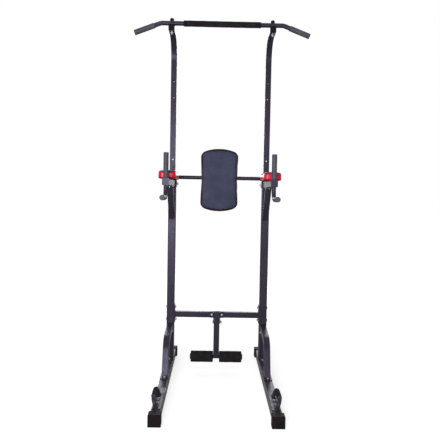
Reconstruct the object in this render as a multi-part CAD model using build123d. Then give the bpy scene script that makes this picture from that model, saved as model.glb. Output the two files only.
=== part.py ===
from build123d import *
import math
import os

# Free-standing power tower: pull-up bar, dip handles, padded back and arm rests, leg rollers
# and push-up handles. Millimetres, +Z up. The user stands on the -Y side. The origin is on
# the floor at the middle of the base. "Ahead" is a distance from the plane of the two
# uprights towards the user.

# ---- driving dimensions: base ----
UPRIGHT_SPACING = 620.0
BASE_LENGTH = 1200.0
REAR_OVERHANG = 253.0
RAIL_SIZE = 50.0
RAIL_WALL = 2.0
FOOT_WIDTH = 66.0
FOOT_HEIGHT = 64.0
FOOT_LENGTH = 50.0
FOOT_SOLE = 8.0
FOOT_FIT = 0.2

# ---- posts, uprights and braces ----
POST_SIZE = 50.0
POST_WALL = 2.0
FLANGE_THICKNESS = 5.0
POST_FLANGE_LENGTH = 150.0
POST_BOLT_AHEAD = 52.0
JOINT_HEIGHT = 296.0
UPRIGHT_TOP = 1285.0
SPIGOT_FIT = 0.2
SPIGOT_BELOW = 40.0
SPIGOT_ABOVE = 80.0
BRACE_SIZE = 38.0
BRACE_WALL = 2.0
BRACE_TOP_HEIGHT = 280.5
BRACE_KNEE_AHEAD = 301.5
BRACE_KNEE_HEIGHT = 257.0
BRACE_FOOT_AHEAD = 367.0
BRACE_BEND_RADIUS = 81.0
BRACE_PLATE_THICKNESS = 4.0
BRACE_PLATE_DROP = 78.0
BRACE_FLANGE_FRONT = 428.0
BRACE_FLANGE_BACK = 296.0
BRACE_FRONT_BOLT = 402.0
BRACE_REAR_BOLT = 316.0

# ---- cross member ----
CROSS_SIZE = 38.0
CROSS_WALL = 2.0
CROSS_HEIGHT = 355.0
CROSS_PLATE_THICKNESS = 5.0
CROSS_PLATE_LOW = 301.0
CROSS_PLATE_HIGH = 423.0
CROSS_BOLT_HEIGHTS = (320.0, 404.0)

# ---- leg rollers ----
LEG_POST_SIZE = 38.0
LEG_POST_WALL = 2.0
LEG_POST_AHEAD = 46.0
LEG_POST_TOP = 381.0
LEG_PIVOT_HEIGHT = 316.0
LEG_PIN_RADIUS = 6.0
LEG_PIN_HEAD_RADIUS = 9.0
LEG_PIN_END = 36.0
LEG_EAR_THICKNESS = 4.0
LEG_EAR_GAP = 1.0
LEG_EAR_RADIUS = 14.0
LEG_PLATE_HALF_WIDTH = 44.0
LEG_BOLT_X = 33.0
LEG_BOLT_HEIGHT = 358.0
ROLLER_HEIGHT = 81.0
ROLLER_RADIUS = 37.0
ROLLER_LENGTH = 149.0
ROLLER_CORE_RADIUS = 16.0
ROLLER_GAP = 1.0
AXLE_RADIUS = 12.5
AXLE_WALL = 2.0
CLIP_WIRE_RADIUS = 1.25

# ---- arms and handles ----
ARM_SIZE = 40.0
ARM_WALL = 2.0
ARM_HEIGHT = 1229.0
ARM_FRONT = 512.0
ARM_EAR_THICKNESS = 4.0
ARM_EAR_HEIGHT = 42.0
ARM_BOLT_BEHIND = 33.0
HANDLE_RADIUS = 12.5
HANDLE_WALL = 2.0
HANDLE_AHEAD = 489.0
HANDLE_TOP = 1392.0
DIP_HEIGHT = 1139.0
DIP_FRONT = 688.0
HANDLE_BEND_RADIUS = 45.0
GRIP_RADIUS = 15.3
GRIP_END = 4.0
DIP_GRIP_LENGTH = 134.0
STRUT_WIDTH = 38.0
STRUT_DEPTH = 25.0
STRUT_WALL = 2.0
STRUT_LOW_HEIGHT = 1012.0
STRUT_TOP_AHEAD = 185.0
STRUT_PLATE_LOW = 990.0
STRUT_PLATE_HIGH = 1075.0
STRUT_SCREW_HEIGHT = 1055.0
PAD_WIDTH = 110.0
PAD_BACK = 130.0
PAD_FRONT = 434.0
PAD_TOP = 1300.0
PAD_CORNER = 26.0
PAD_EDGE = 11.0
PAD_BOARD = 9.0
PAD_BOARD_INSET = 7.0
PAD_BOLTS_AHEAD = (228.0, 390.0)

# ---- backrest ----
BACK_TUBE_HEIGHT = 1271.0
BACK_TUBE_RADIUS = 12.5
BACK_TUBE_WALL = 2.0
BACK_PAD_WIDTH = 250.0
BACK_PAD_HEIGHT = 415.0
BACK_PAD_CENTRE = 1255.0
BACK_PAD_RISE = 29.0
BACK_PAD_CORNER = 26.0
BACK_PAD_FRONT = 80.0
BACK_PLATE_AHEAD = 20.0
BACK_PLATE_THICKNESS = 4.0
BACK_BOARD = 12.0
BACK_BOARD_INSET = 7.0
BACK_PLATE_WIDTH = 150.0
BACK_PLATE_HEIGHT = 190.0
BACK_BOLT_X = 60.0
BACK_BOLT_Z = 80.0
BACK_CLAMP_X = 45.0

# ---- sliding upper frame ----
UPPER_SIZE = 38.0
UPPER_WALL = 1.5
UPPER_BOTTOM = 1095.0
UPPER_BEND_RADIUS = 144.0
UPPER_RUN_HEIGHT = 2174.0
UPPER_FRONT = 248.0
LOCK_HEIGHT = 1268.0
LOCK_STEPS = (-100.0, 0.0, 120.0, 525.0, 630.0)
LOCK_HOLE_RADIUS = 5.5
SLIDE_FIT = 0.1
SLEEVE_FLANGE = 14.0
SLEEVE_SKIRT = 59.0
SLEEVE_WIDTH = 54.0
LOCK_PIN_RADIUS = 5.0
LOCK_BOSS_RADIUS = 13.0
LOCK_BOSS_LENGTH = 28.0
LOCK_BOSS_WALL = 6.0
LOCK_NOSE_GAP = 0.5
LOCK_COLLAR_LENGTH = 3.0
LOCK_KNOB_RADIUS = 20.0
LOCK_KNOB_LENGTH = 28.0
LOCK_KNOB_STANDOFF = 3.0

# ---- pull-up bar ----
BAR_AHEAD = 216.0
BAR_RADIUS = 14.0
BAR_WALL = 2.0
BAR_SEAT_GAP = 0.3
BAR_BEND_X = 377.0
BAR_TIP_X = 536.0
BAR_DROP_ANGLE = 21.0
BAR_BEND_RADIUS = 60.0
CENTRE_GRIP_RADIUS = 18.5
CENTRE_GRIP_LENGTH = 478.0
END_GRIP_RADIUS = 17.0
END_GRIP_LENGTH = 134.0
BAR_CAP_RADIUS = 12.5
BAR_CAP_HEIGHT = 16.5

# ---- push-up handles ----
PUSH_TUBE_RADIUS = 11.0
PUSH_TUBE_WALL = 2.0
PUSH_BACK = 682.0
PUSH_FRONT = 850.0
PUSH_GRIP_HEIGHT = 107.0
PUSH_LEAN = 17.0
PUSH_BEND_RADIUS = 30.0
PUSH_GRIP_RADIUS = 14.5
PUSH_GRIP_LENGTH = 106.0
PUSH_PLATE_WIDTH = 46.0
PUSH_PLATE_MARGIN = 17.0
PUSH_BOLTS_AHEAD = (742.0, 798.0)

# ---- shared fits and fasteners ----
CORNER = 3.0
HOLE_CLEARANCE = 0.5
SEAT_FIT = 0.05
SOFT_GAP = 0.3
FRAME_BOLT = 10.0
FRAME_BOLT_LENGTH = 20.0
SMALL_BOLT = 8.0
SCREW = 6.0
HEAD_ACROSS = 1.6
HEAD_HEIGHT = 0.64
NUT_HEIGHT = 0.8

# ---- derived places ----
UPRIGHT_X = UPRIGHT_SPACING / 2
UPRIGHT_Y = BASE_LENGTH / 2 - REAR_OVERHANG
BASE_FRONT = BASE_LENGTH - REAR_OVERHANG
RAIL_TOP = FOOT_SOLE + RAIL_SIZE
POST_FACE = POST_SIZE / 2
FLANGE_TOP = RAIL_TOP + FLANGE_THICKNESS
INNER_FACE = UPRIGHT_X - POST_FACE
OUTER_FACE = UPRIGHT_X + POST_FACE
ARM_TOP = ARM_HEIGHT + ARM_SIZE / 2
ARM_BOTTOM = ARM_HEIGHT - ARM_SIZE / 2
BAR_HEIGHT = UPPER_RUN_HEIGHT + UPPER_SIZE / 2 + BAR_SEAT_GAP + BAR_RADIUS
BAR_CROWN = BAR_HEIGHT + BAR_RADIUS
CROSS_FACE = CROSS_SIZE / 2
LEG_PLATE_FACE = CROSS_FACE + LEG_EAR_THICKNESS
LEG_EAR_INSIDE = LEG_POST_SIZE / 2 + LEG_EAR_GAP
LEG_EAR_OUTSIDE = LEG_EAR_INSIDE + LEG_EAR_THICKNESS
ROLLER_INSIDE = LEG_POST_SIZE / 2 + ROLLER_GAP
ROLLER_OUTSIDE = ROLLER_INSIDE + ROLLER_LENGTH


# ---- helpers ----
def y_at(ahead):
    """The y value of a distance ahead of the upright plane."""
    return UPRIGHT_Y - ahead


def block(x_range, ahead_range, z_range):
    """A box between two x values, two distances ahead and two heights."""
    low_x, high_x = x_range
    back, front = ahead_range
    low_z, high_z = z_range
    centre = Pos((low_x + high_x) / 2, y_at((back + front) / 2), (low_z + high_z) / 2)
    return centre * Box(high_x - low_x, front - back, high_z - low_z)


def rod_x(radius, low_x, high_x, ahead, z):
    """A round rod along X."""
    return Pos((low_x + high_x) / 2, y_at(ahead), z) * Rot(0, 90, 0) * Cylinder(radius, high_x - low_x)


def rod_y(radius, x, back, front, z):
    """A round rod along Y, between two distances ahead."""
    return Pos(x, y_at((back + front) / 2), z) * Rot(90, 0, 0) * Cylinder(radius, front - back)


def rod_z(radius, x, ahead, low_z, high_z):
    """A round rod along Z."""
    return Pos(x, y_at(ahead), (low_z + high_z) / 2) * Cylinder(radius, high_z - low_z)


def box_section(width, depth, wall):
    """The outer and inner outlines of a rectangular tube with rounded corners."""
    outer = RectangleRounded(width, depth, CORNER)
    inner = RectangleRounded(width - 2 * wall, depth - 2 * wall, max(CORNER - wall, 0.5))
    return outer, inner


def box_tube(width, depth, wall, length):
    """A straight rectangular tube along +Z that starts at z = 0."""
    outer, inner = box_section(width, depth, wall)
    return extrude(outer - inner, amount=length)


def upright_tube(size, wall, x, ahead, low_z, high_z):
    """A standing square tube."""
    return Pos(x, y_at(ahead), low_z) * box_tube(size, size, wall, high_z - low_z)


def forward_tube(width, height, wall, x, back, front, z):
    """A rectangular tube that runs from back to front."""
    return Pos(x, y_at(back), z) * Rot(90, 0, 0) * box_tube(width, height, wall, front - back)


def sweep_along(path, outer, inner):
    """A hollow profile carried along a path that starts square to it."""
    start = Plane(origin=path @ 0, x_dir=(1, 0, 0), z_dir=path % 0)
    return sweep(start * outer, path) - sweep(start * inner, path)


def sweep_round(path, radius, wall, x_dir=(1, 0, 0)):
    """A round tube carried along a path."""
    start = Plane(origin=path @ 0, x_dir=x_dir, z_dir=path % 0)
    return sweep(start * Circle(radius), path) - sweep(start * Circle(radius - wall), path)


def bolt(diameter, length):
    """A hexagon bolt along Z: its head stands above z = 0 and its shank hangs below."""
    head = extrude(RegularPolygon(diameter * HEAD_ACROSS / 2, 6, major_radius=False), diameter * HEAD_HEIGHT)
    shank = Pos(0, 0, -length / 2) * Cylinder(diameter / 2, length)
    return head + shank


def nut(diameter):
    """A hexagon nut that stands on z = 0."""
    blank = extrude(RegularPolygon(diameter * HEAD_ACROSS / 2, 6, major_radius=False), diameter * NUT_HEIGHT)
    return blank - Cylinder(diameter / 2 + SEAT_FIT, 4 * diameter)


def tube_plug(size, wall, lip, depth):
    """A square end plug: a lip above z = 0 and a plug below it that fills the tube."""
    cap = extrude(RectangleRounded(size, size, CORNER), lip)
    body = size - 2 * wall - 2 * SEAT_FIT
    return cap + extrude(RectangleRounded(body, body, CORNER), -depth)


def mirrored(shape):
    """The same piece on the other side of the tower."""
    return mirror(shape, about=Plane.YZ)


def write(name, *shapes):
    """Write one node: a single solid, or a group of separate solids."""
    solids = [solid for shape in shapes for solid in shape.solids()]
    node = solids[0] if len(solids) == 1 else Compound(solids)
    export_step(node, f"parts/{name}.step")


def write_sides(name, right_shape):
    """Write a left node and a right node."""
    write("right_" + name, right_shape)
    write("left_" + name, mirrored(right_shape))


def write_both(name, *right_shapes):
    """Write one group node that holds the pieces of both sides."""
    write(name, *right_shapes, *[mirrored(shape) for shape in right_shapes])


# ---- base ----
def frame_bolt_down(x, ahead, z):
    """A frame bolt with its head up."""
    return Pos(x, y_at(ahead), z) * bolt(FRAME_BOLT, FRAME_BOLT_LENGTH)


def rail_bolt_places():
    """Distances ahead of every bolt that enters a base rail."""
    post = [-POST_BOLT_AHEAD, POST_BOLT_AHEAD]
    return post + [BRACE_REAR_BOLT, BRACE_FRONT_BOLT] + list(PUSH_BOLTS_AHEAD)


def base_rail():
    """A bottom rail with its welded nuts under the top wall."""
    back = -REAR_OVERHANG + FOOT_SOLE + FOOT_FIT
    front = BASE_FRONT - FOOT_SOLE - FOOT_FIT
    centre_z = FOOT_SOLE + RAIL_SIZE / 2
    rail = forward_tube(RAIL_SIZE, RAIL_SIZE, RAIL_WALL, UPRIGHT_X, back, front, centre_z)
    nut_z = RAIL_TOP - RAIL_WALL - FRAME_BOLT * NUT_HEIGHT
    for ahead in rail_bolt_places():
        rail -= rod_z(FRAME_BOLT / 2 + HOLE_CLEARANCE, UPRIGHT_X, ahead, RAIL_TOP - 2 * RAIL_WALL, RAIL_TOP)
    for ahead in rail_bolt_places():
        rail += Pos(UPRIGHT_X, y_at(ahead), nut_z) * nut(FRAME_BOLT)
    return rail


def foot(back, front, opens_forward):
    """A moulded shoe over a rail end, chamfered along its outer top edge."""
    half = FOOT_WIDTH / 2
    shoe = block((UPRIGHT_X - half, UPRIGHT_X + half), (back, front), (0, FOOT_HEIGHT))
    shoe = chamfer(shoe.edges().filter_by(Axis.Y).group_by(Axis.Z)[-1], 5.0)
    rail_half = RAIL_SIZE / 2 + FOOT_FIT
    pocket_back = back + FOOT_SOLE
    pocket_front = front + FOOT_LENGTH
    if not opens_forward:
        pocket_back = back - FOOT_LENGTH
        pocket_front = front - FOOT_SOLE
    pocket_x = (UPRIGHT_X - rail_half, UPRIGHT_X + rail_half)
    return shoe - block(pocket_x, (pocket_back, pocket_front), (FOOT_SOLE, RAIL_TOP + FOOT_FIT))


def lower_post():
    """The short post: a square tube welded on a bolted flange, with nuts for the brace."""
    post = upright_tube(POST_SIZE, POST_WALL, UPRIGHT_X, 0, FLANGE_TOP, JOINT_HEIGHT)
    half = POST_FLANGE_LENGTH / 2
    flange = block((INNER_FACE, OUTER_FACE), (-half, half), (RAIL_TOP, FLANGE_TOP))
    post += flange
    for ahead in (-POST_BOLT_AHEAD, POST_BOLT_AHEAD):
        post -= rod_z(FRAME_BOLT / 2 + HOLE_CLEARANCE, UPRIGHT_X, ahead, RAIL_TOP, FLANGE_TOP)
    for x in brace_bolt_xs():
        post -= rod_y(FRAME_BOLT / 2 + HOLE_CLEARANCE, x, POST_FACE - 2 * POST_WALL, POST_FACE, brace_bolt_z())
    inner = POST_FACE - POST_WALL
    for x in brace_bolt_xs():
        post += Pos(x, y_at(inner), brace_bolt_z()) * Rot(-90, 0, 0) * nut(FRAME_BOLT)
    return post


def brace_bolt_xs():
    """The two bolts of the brace's top plate, side by side."""
    return UPRIGHT_X - POST_SIZE / 4, UPRIGHT_X + POST_SIZE / 4


def brace_bolt_z():
    """The height of those bolts, below the brace tube."""
    return BRACE_TOP_HEIGHT - BRACE_SIZE / 2 - FRAME_BOLT * HEAD_ACROSS


def brace():
    """The bent front brace: a tube with a top plate on the post and a flange on the rail."""
    plate_face = POST_FACE + BRACE_PLATE_THICKNESS
    top_slope = (BRACE_TOP_HEIGHT - BRACE_KNEE_HEIGHT) / (BRACE_KNEE_AHEAD - plate_face)
    foot_slope = (BRACE_FOOT_AHEAD - BRACE_KNEE_AHEAD) / (BRACE_KNEE_HEIGHT - FLANGE_TOP)
    run_on = BRACE_SIZE / 2
    points = [
        (UPRIGHT_X, y_at(plate_face - run_on), BRACE_TOP_HEIGHT + run_on * top_slope),
        (UPRIGHT_X, y_at(BRACE_KNEE_AHEAD), BRACE_KNEE_HEIGHT),
        (UPRIGHT_X, y_at(BRACE_FOOT_AHEAD + run_on * foot_slope), FLANGE_TOP - run_on),
    ]
    path = FilletPolyline(points, radius=BRACE_BEND_RADIUS)
    outer, inner = box_section(BRACE_SIZE, BRACE_SIZE, BRACE_WALL)
    tube = sweep_along(path, outer, inner)
    wide = (INNER_FACE - POST_SIZE, OUTER_FACE + POST_SIZE)
    tube -= block(wide, (-POST_SIZE, plate_face), (0, JOINT_HEIGHT + POST_SIZE))
    tube -= block(wide, (0, BASE_FRONT), (0, FLANGE_TOP))
    top = BRACE_TOP_HEIGHT + BRACE_SIZE / 2
    plate = block((INNER_FACE + 1, OUTER_FACE - 1), (POST_FACE, plate_face), (top - BRACE_PLATE_DROP, top))
    flange = block((INNER_FACE, OUTER_FACE), (BRACE_FLANGE_BACK, BRACE_FLANGE_FRONT), (RAIL_TOP, FLANGE_TOP))
    whole = tube + plate + flange
    hole = FRAME_BOLT / 2 + HOLE_CLEARANCE
    for x in brace_bolt_xs():
        whole -= rod_y(hole, x, POST_FACE, plate_face, brace_bolt_z())
    for ahead in (BRACE_REAR_BOLT, BRACE_FRONT_BOLT):
        whole -= rod_z(hole, UPRIGHT_X, ahead, RAIL_TOP, FLANGE_TOP)
    return whole


def spigot():
    """The inner joint tube that joins the lower post to the main upright."""
    size = POST_SIZE - 2 * POST_WALL - 2 * SPIGOT_FIT
    tube = upright_tube(size, POST_WALL, UPRIGHT_X, 0, JOINT_HEIGHT - SPIGOT_BELOW, JOINT_HEIGHT + SPIGOT_ABOVE)
    hole = FRAME_BOLT / 2 + HOLE_CLEARANCE
    return tube - rod_x(hole, INNER_FACE, OUTER_FACE, 0, CROSS_BOLT_HEIGHTS[0])


def main_upright():
    """The outer tube of the telescoping upright."""
    tube = upright_tube(POST_SIZE, POST_WALL, UPRIGHT_X, 0, JOINT_HEIGHT, UPRIGHT_TOP)
    for height in CROSS_BOLT_HEIGHTS:
        tube -= rod_x(FRAME_BOLT / 2 + HOLE_CLEARANCE, INNER_FACE, OUTER_FACE, 0, height)
    tube -= rod_y(LOCK_HOLE_RADIUS, UPRIGHT_X, -POST_FACE, 0, LOCK_HEIGHT)
    for x in strut_screw_xs():
        tube -= rod_y(SCREW / 2 + SEAT_FIT, x, 0, POST_FACE, STRUT_SCREW_HEIGHT)
    for ahead in back_tube_screw_places():
        tube -= rod_x(SCREW / 2 + SEAT_FIT, INNER_FACE, UPRIGHT_X, ahead, BACK_TUBE_HEIGHT)
    return tube


def cross_member():
    """The low cross tube with a bolted plate at each end."""
    span = INNER_FACE - CROSS_PLATE_THICKNESS
    tube = Pos(-span, y_at(0), CROSS_HEIGHT) * Rot(0, 90, 0) * box_tube(CROSS_SIZE, CROSS_SIZE, CROSS_WALL, 2 * span)
    for x in (-LEG_BOLT_X, LEG_BOLT_X):
        tube -= rod_y(SMALL_BOLT / 2 + HOLE_CLEARANCE, x, -CROSS_FACE, CROSS_FACE, LEG_BOLT_HEIGHT)
    plate = block((span, INNER_FACE), (-POST_FACE, POST_FACE), (CROSS_PLATE_LOW, CROSS_PLATE_HIGH))
    for height in CROSS_BOLT_HEIGHTS:
        plate -= rod_x(FRAME_BOLT / 2 + HOLE_CLEARANCE, span, INNER_FACE, 0, height)
    return tube + plate + mirrored(plate)


def cross_bolts():
    """Through bolts of the cross member, each with its nut on the inner side."""
    pieces = []
    nut_face = INNER_FACE - CROSS_PLATE_THICKNESS
    length = OUTER_FACE - nut_face + FRAME_BOLT * NUT_HEIGHT + 3
    for height in CROSS_BOLT_HEIGHTS:
        pieces.append(Pos(OUTER_FACE, y_at(0), height) * Rot(0, 90, 0) * bolt(FRAME_BOLT, length))
        pieces.append(Pos(nut_face, y_at(0), height) * Rot(0, -90, 0) * nut(FRAME_BOLT))
    return pieces


def frame_bolts():
    """The equal short bolts of the flanges, brace plates and push-up handles."""
    pieces = [frame_bolt_down(UPRIGHT_X, ahead, FLANGE_TOP) for ahead in rail_bolt_places()]
    face = y_at(POST_FACE + BRACE_PLATE_THICKNESS)
    for x in brace_bolt_xs():
        pieces.append(Pos(x, face, brace_bolt_z()) * Rot(90, 0, 0) * bolt(FRAME_BOLT, FRAME_BOLT_LENGTH))
    return pieces


# ---- leg rollers ----
def leg_bracket():
    """The forked bracket on the cross member that carries the leg post's pin."""
    top = CROSS_HEIGHT + CROSS_FACE + LEG_EAR_THICKNESS
    low = CROSS_HEIGHT - CROSS_FACE
    front = LEG_POST_AHEAD + LEG_EAR_RADIUS
    plate_x = (-LEG_PLATE_HALF_WIDTH, LEG_PLATE_HALF_WIDTH)
    bracket = block(plate_x, (CROSS_FACE, LEG_PLATE_FACE), (low, top))
    ear_x = (LEG_EAR_INSIDE, LEG_EAR_OUTSIDE)
    back = LEG_POST_AHEAD - LEG_EAR_RADIUS
    ear = block(ear_x, (CROSS_FACE, front), (low, top))
    ear += block(ear_x, (back, front), (LEG_PIVOT_HEIGHT, low))
    ear += rod_x(LEG_EAR_RADIUS, *ear_x, LEG_POST_AHEAD, LEG_PIVOT_HEIGHT)
    ear = chamfer(ear.edges().filter_by(Axis.X).sort_by(Axis.Z)[-2:].sort_by(Axis.Y)[0], 12.0)
    bracket += ear + mirrored(ear)
    bracket -= rod_x(LEG_PIN_RADIUS + SEAT_FIT, -LEG_EAR_OUTSIDE, LEG_EAR_OUTSIDE, LEG_POST_AHEAD, LEG_PIVOT_HEIGHT)
    for x in (-LEG_BOLT_X, LEG_BOLT_X):
        bracket -= rod_y(SMALL_BOLT / 2 + HOLE_CLEARANCE, x, CROSS_FACE, LEG_PLATE_FACE, LEG_BOLT_HEIGHT)
    return bracket


def leg_bracket_bolts():
    """Bolts through the cross member, with nuts behind it."""
    pieces = []
    length = LEG_PLATE_FACE + CROSS_FACE + SMALL_BOLT * NUT_HEIGHT + 2
    for x in (-LEG_BOLT_X, LEG_BOLT_X):
        pieces.append(Pos(x, y_at(LEG_PLATE_FACE), LEG_BOLT_HEIGHT) * Rot(90, 0, 0) * bolt(SMALL_BOLT, length))
        pieces.append(Pos(x, y_at(-CROSS_FACE), LEG_BOLT_HEIGHT) * Rot(-90, 0, 0) * nut(SMALL_BOLT))
    return pieces


def clip_x():
    """The clip's place along the pin, just outside the ear."""
    return LEG_EAR_OUTSIDE + 4 * CLIP_WIRE_RADIUS


def leg_pivot_pin():
    """The headed pin, cross-drilled for its clip."""
    head_x = (-LEG_EAR_OUTSIDE - LEG_EAR_THICKNESS, -LEG_EAR_OUTSIDE)
    pin = rod_x(LEG_PIN_HEAD_RADIUS, *head_x, LEG_POST_AHEAD, LEG_PIVOT_HEIGHT)
    pin += rod_x(LEG_PIN_RADIUS, -LEG_EAR_OUTSIDE, LEG_PIN_END, LEG_POST_AHEAD, LEG_PIVOT_HEIGHT)
    half = 2 * LEG_PIN_RADIUS
    hole = CLIP_WIRE_RADIUS + SEAT_FIT
    return pin - rod_z(hole, clip_x(), LEG_POST_AHEAD, LEG_PIVOT_HEIGHT - half, LEG_PIVOT_HEIGHT + half)


def pivot_clip():
    """The bent wire clip: one leg through the pin, the other in front of it."""
    reach = LEG_PIN_RADIUS + 3 * CLIP_WIRE_RADIUS
    top = LEG_PIVOT_HEIGHT + LEG_PIN_RADIUS + 3 * CLIP_WIRE_RADIUS
    low = LEG_PIVOT_HEIGHT - 4 * LEG_PIN_RADIUS
    points = [
        (clip_x(), y_at(LEG_POST_AHEAD), low),
        (clip_x(), y_at(LEG_POST_AHEAD), top),
        (clip_x(), y_at(LEG_POST_AHEAD + reach), top),
        (clip_x(), y_at(LEG_POST_AHEAD + reach), low + LEG_PIN_RADIUS),
    ]
    path = FilletPolyline(points, radius=reach * 0.4)
    start = Plane(origin=path @ 0, x_dir=(1, 0, 0), z_dir=path % 0)
    return sweep(start * Circle(CLIP_WIRE_RADIUS), path)


def leg_post():
    """The swinging post: a pivot bush near its top and a cope for the axle at its foot."""
    post = upright_tube(LEG_POST_SIZE, LEG_POST_WALL, 0, LEG_POST_AHEAD, ROLLER_HEIGHT + 3, LEG_POST_TOP)
    half = LEG_POST_SIZE / 2
    bush = LEG_PIN_RADIUS + 2 * SEAT_FIT + LEG_POST_WALL
    post += rod_x(bush, -half, half, LEG_POST_AHEAD, LEG_PIVOT_HEIGHT)
    post -= rod_x(LEG_PIN_RADIUS + SEAT_FIT, -half, half, LEG_POST_AHEAD, LEG_PIVOT_HEIGHT)
    return post - rod_x(AXLE_RADIUS + SEAT_FIT, -half, half, LEG_POST_AHEAD, ROLLER_HEIGHT)


def roller_axle():
    """The axle tube across the foot of the leg post."""
    solid = rod_x(AXLE_RADIUS, -ROLLER_OUTSIDE - ROLLER_GAP, ROLLER_OUTSIDE + ROLLER_GAP, LEG_POST_AHEAD, ROLLER_HEIGHT)
    bore = AXLE_RADIUS - AXLE_WALL
    return solid - rod_x(bore, -ROLLER_OUTSIDE * 2, ROLLER_OUTSIDE * 2, LEG_POST_AHEAD, ROLLER_HEIGHT)


def axle_cap():
    """The end cap that keeps a roller on the axle."""
    start = ROLLER_OUTSIDE + ROLLER_GAP
    lip = rod_x(ROLLER_CORE_RADIUS + 2, start, start + 4, LEG_POST_AHEAD, ROLLER_HEIGHT)
    plug = AXLE_RADIUS - AXLE_WALL - SEAT_FIT
    return lip + rod_x(plug, start - 15, start, LEG_POST_AHEAD, ROLLER_HEIGHT)


def roller_sleeve(outer, inner):
    """A round sleeve on the axle over one roller's length."""
    solid = rod_x(outer, ROLLER_INSIDE, ROLLER_OUTSIDE, LEG_POST_AHEAD, ROLLER_HEIGHT)
    return solid - rod_x(inner, ROLLER_INSIDE, ROLLER_OUTSIDE, LEG_POST_AHEAD, ROLLER_HEIGHT)


# ---- arms ----
def arm():
    """An arm tube welded to a forked bracket that clasps the upright."""
    inside = POST_FACE + SEAT_FIT
    web_front = inside + ARM_EAR_THICKNESS
    outside = inside + ARM_EAR_THICKNESS
    half = ARM_EAR_HEIGHT / 2
    z_range = (ARM_HEIGHT - half, ARM_HEIGHT + half)
    fork = block((UPRIGHT_X - outside, UPRIGHT_X + outside), (inside, web_front), z_range)
    for side in (-1, 1):
        ear_x = sorted((UPRIGHT_X + side * inside, UPRIGHT_X + side * outside))
        fork += block(ear_x, (-POST_FACE, web_front), z_range)
        fork += rod_x(half, *ear_x, -POST_FACE, ARM_HEIGHT)
    tube = forward_tube(ARM_SIZE, ARM_SIZE, ARM_WALL, UPRIGHT_X, web_front, ARM_FRONT, ARM_HEIGHT)
    whole = fork + tube
    low = ARM_BOTTOM - ARM_SIZE
    high = ARM_TOP + ARM_SIZE
    whole -= rod_z(HANDLE_RADIUS + SEAT_FIT, UPRIGHT_X, HANDLE_AHEAD, low, high)
    for ahead in PAD_BOLTS_AHEAD:
        whole -= rod_z(SCREW / 2 + HOLE_CLEARANCE, UPRIGHT_X, ahead, low, high)
    hole = SMALL_BOLT / 2 + HOLE_CLEARANCE
    return whole - rod_x(hole, INNER_FACE - ARM_SIZE, OUTER_FACE + ARM_SIZE, -ARM_BOLT_BEHIND, ARM_HEIGHT)


def arm_bolts():
    """The bolt behind the upright that closes each arm's fork, with its nut."""
    reach = POST_FACE + SEAT_FIT + ARM_EAR_THICKNESS
    length = 2 * reach + SMALL_BOLT * NUT_HEIGHT + 2
    outer = Pos(UPRIGHT_X + reach, y_at(-ARM_BOLT_BEHIND), ARM_HEIGHT) * Rot(0, 90, 0) * bolt(SMALL_BOLT, length)
    inner = Pos(UPRIGHT_X - reach, y_at(-ARM_BOLT_BEHIND), ARM_HEIGHT) * Rot(0, -90, 0) * nut(SMALL_BOLT)
    return [outer, inner]


def arm_end_plug():
    """The plug in an arm's front end."""
    return Pos(UPRIGHT_X, y_at(ARM_FRONT), ARM_HEIGHT) * Rot(90, 0, 0) * tube_plug(ARM_SIZE, ARM_WALL, 3, 8)


def strut_screw_xs():
    """The two screws of the strut's lower plate."""
    return UPRIGHT_X - POST_SIZE / 4, UPRIGHT_X + POST_SIZE / 4


def arm_strut():
    """The slanting support under an arm, with a plate at each end."""
    plate_face = POST_FACE + FLANGE_THICKNESS
    under_arm = ARM_BOTTOM - FLANGE_THICKNESS
    rise = under_arm - STRUT_LOW_HEIGHT
    run = STRUT_TOP_AHEAD - plate_face
    angle = math.degrees(math.atan2(rise, run))
    length = math.hypot(rise, run) + 2 * STRUT_WIDTH
    profile = box_tube(STRUT_WIDTH, STRUT_DEPTH, STRUT_WALL, length)
    place = Pos(UPRIGHT_X, y_at(plate_face), STRUT_LOW_HEIGHT) * Rot(90 - angle, 0, 0) * Pos(0, 0, -STRUT_WIDTH)
    tube = place * profile
    wide = (INNER_FACE - POST_SIZE, OUTER_FACE + POST_SIZE)
    tube -= block(wide, (-POST_SIZE, plate_face), (STRUT_PLATE_LOW - 2 * POST_SIZE, ARM_TOP))
    tube -= block(wide, (-POST_SIZE, ARM_FRONT), (under_arm, ARM_TOP + POST_SIZE))
    lower = block(
        (INNER_FACE + CORNER, OUTER_FACE - CORNER), (POST_FACE, plate_face), (STRUT_PLATE_LOW, STRUT_PLATE_HIGH)
    )
    half = STRUT_WIDTH / 2
    upper_end = PAD_BOLTS_AHEAD[0] + half
    upper = block(
        (UPRIGHT_X - half, UPRIGHT_X + half), (STRUT_TOP_AHEAD - STRUT_WIDTH, upper_end), (under_arm, ARM_BOTTOM)
    )
    whole = tube + lower + upper
    for x in strut_screw_xs():
        whole -= rod_y(SCREW / 2 + SEAT_FIT, x, POST_FACE, plate_face, STRUT_SCREW_HEIGHT)
    return whole - rod_z(SCREW / 2 + HOLE_CLEARANCE, UPRIGHT_X, PAD_BOLTS_AHEAD[0], under_arm, ARM_BOTTOM)


def handle_tube():
    """The bent handle: upright grip above the arm, dip handle forward below it."""
    points = [
        (UPRIGHT_X, y_at(HANDLE_AHEAD), HANDLE_TOP),
        (UPRIGHT_X, y_at(HANDLE_AHEAD), DIP_HEIGHT),
        (UPRIGHT_X, y_at(DIP_FRONT), DIP_HEIGHT),
    ]
    return sweep_round(FilletPolyline(points, radius=HANDLE_BEND_RADIUS), HANDLE_RADIUS, HANDLE_WALL)


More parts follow.
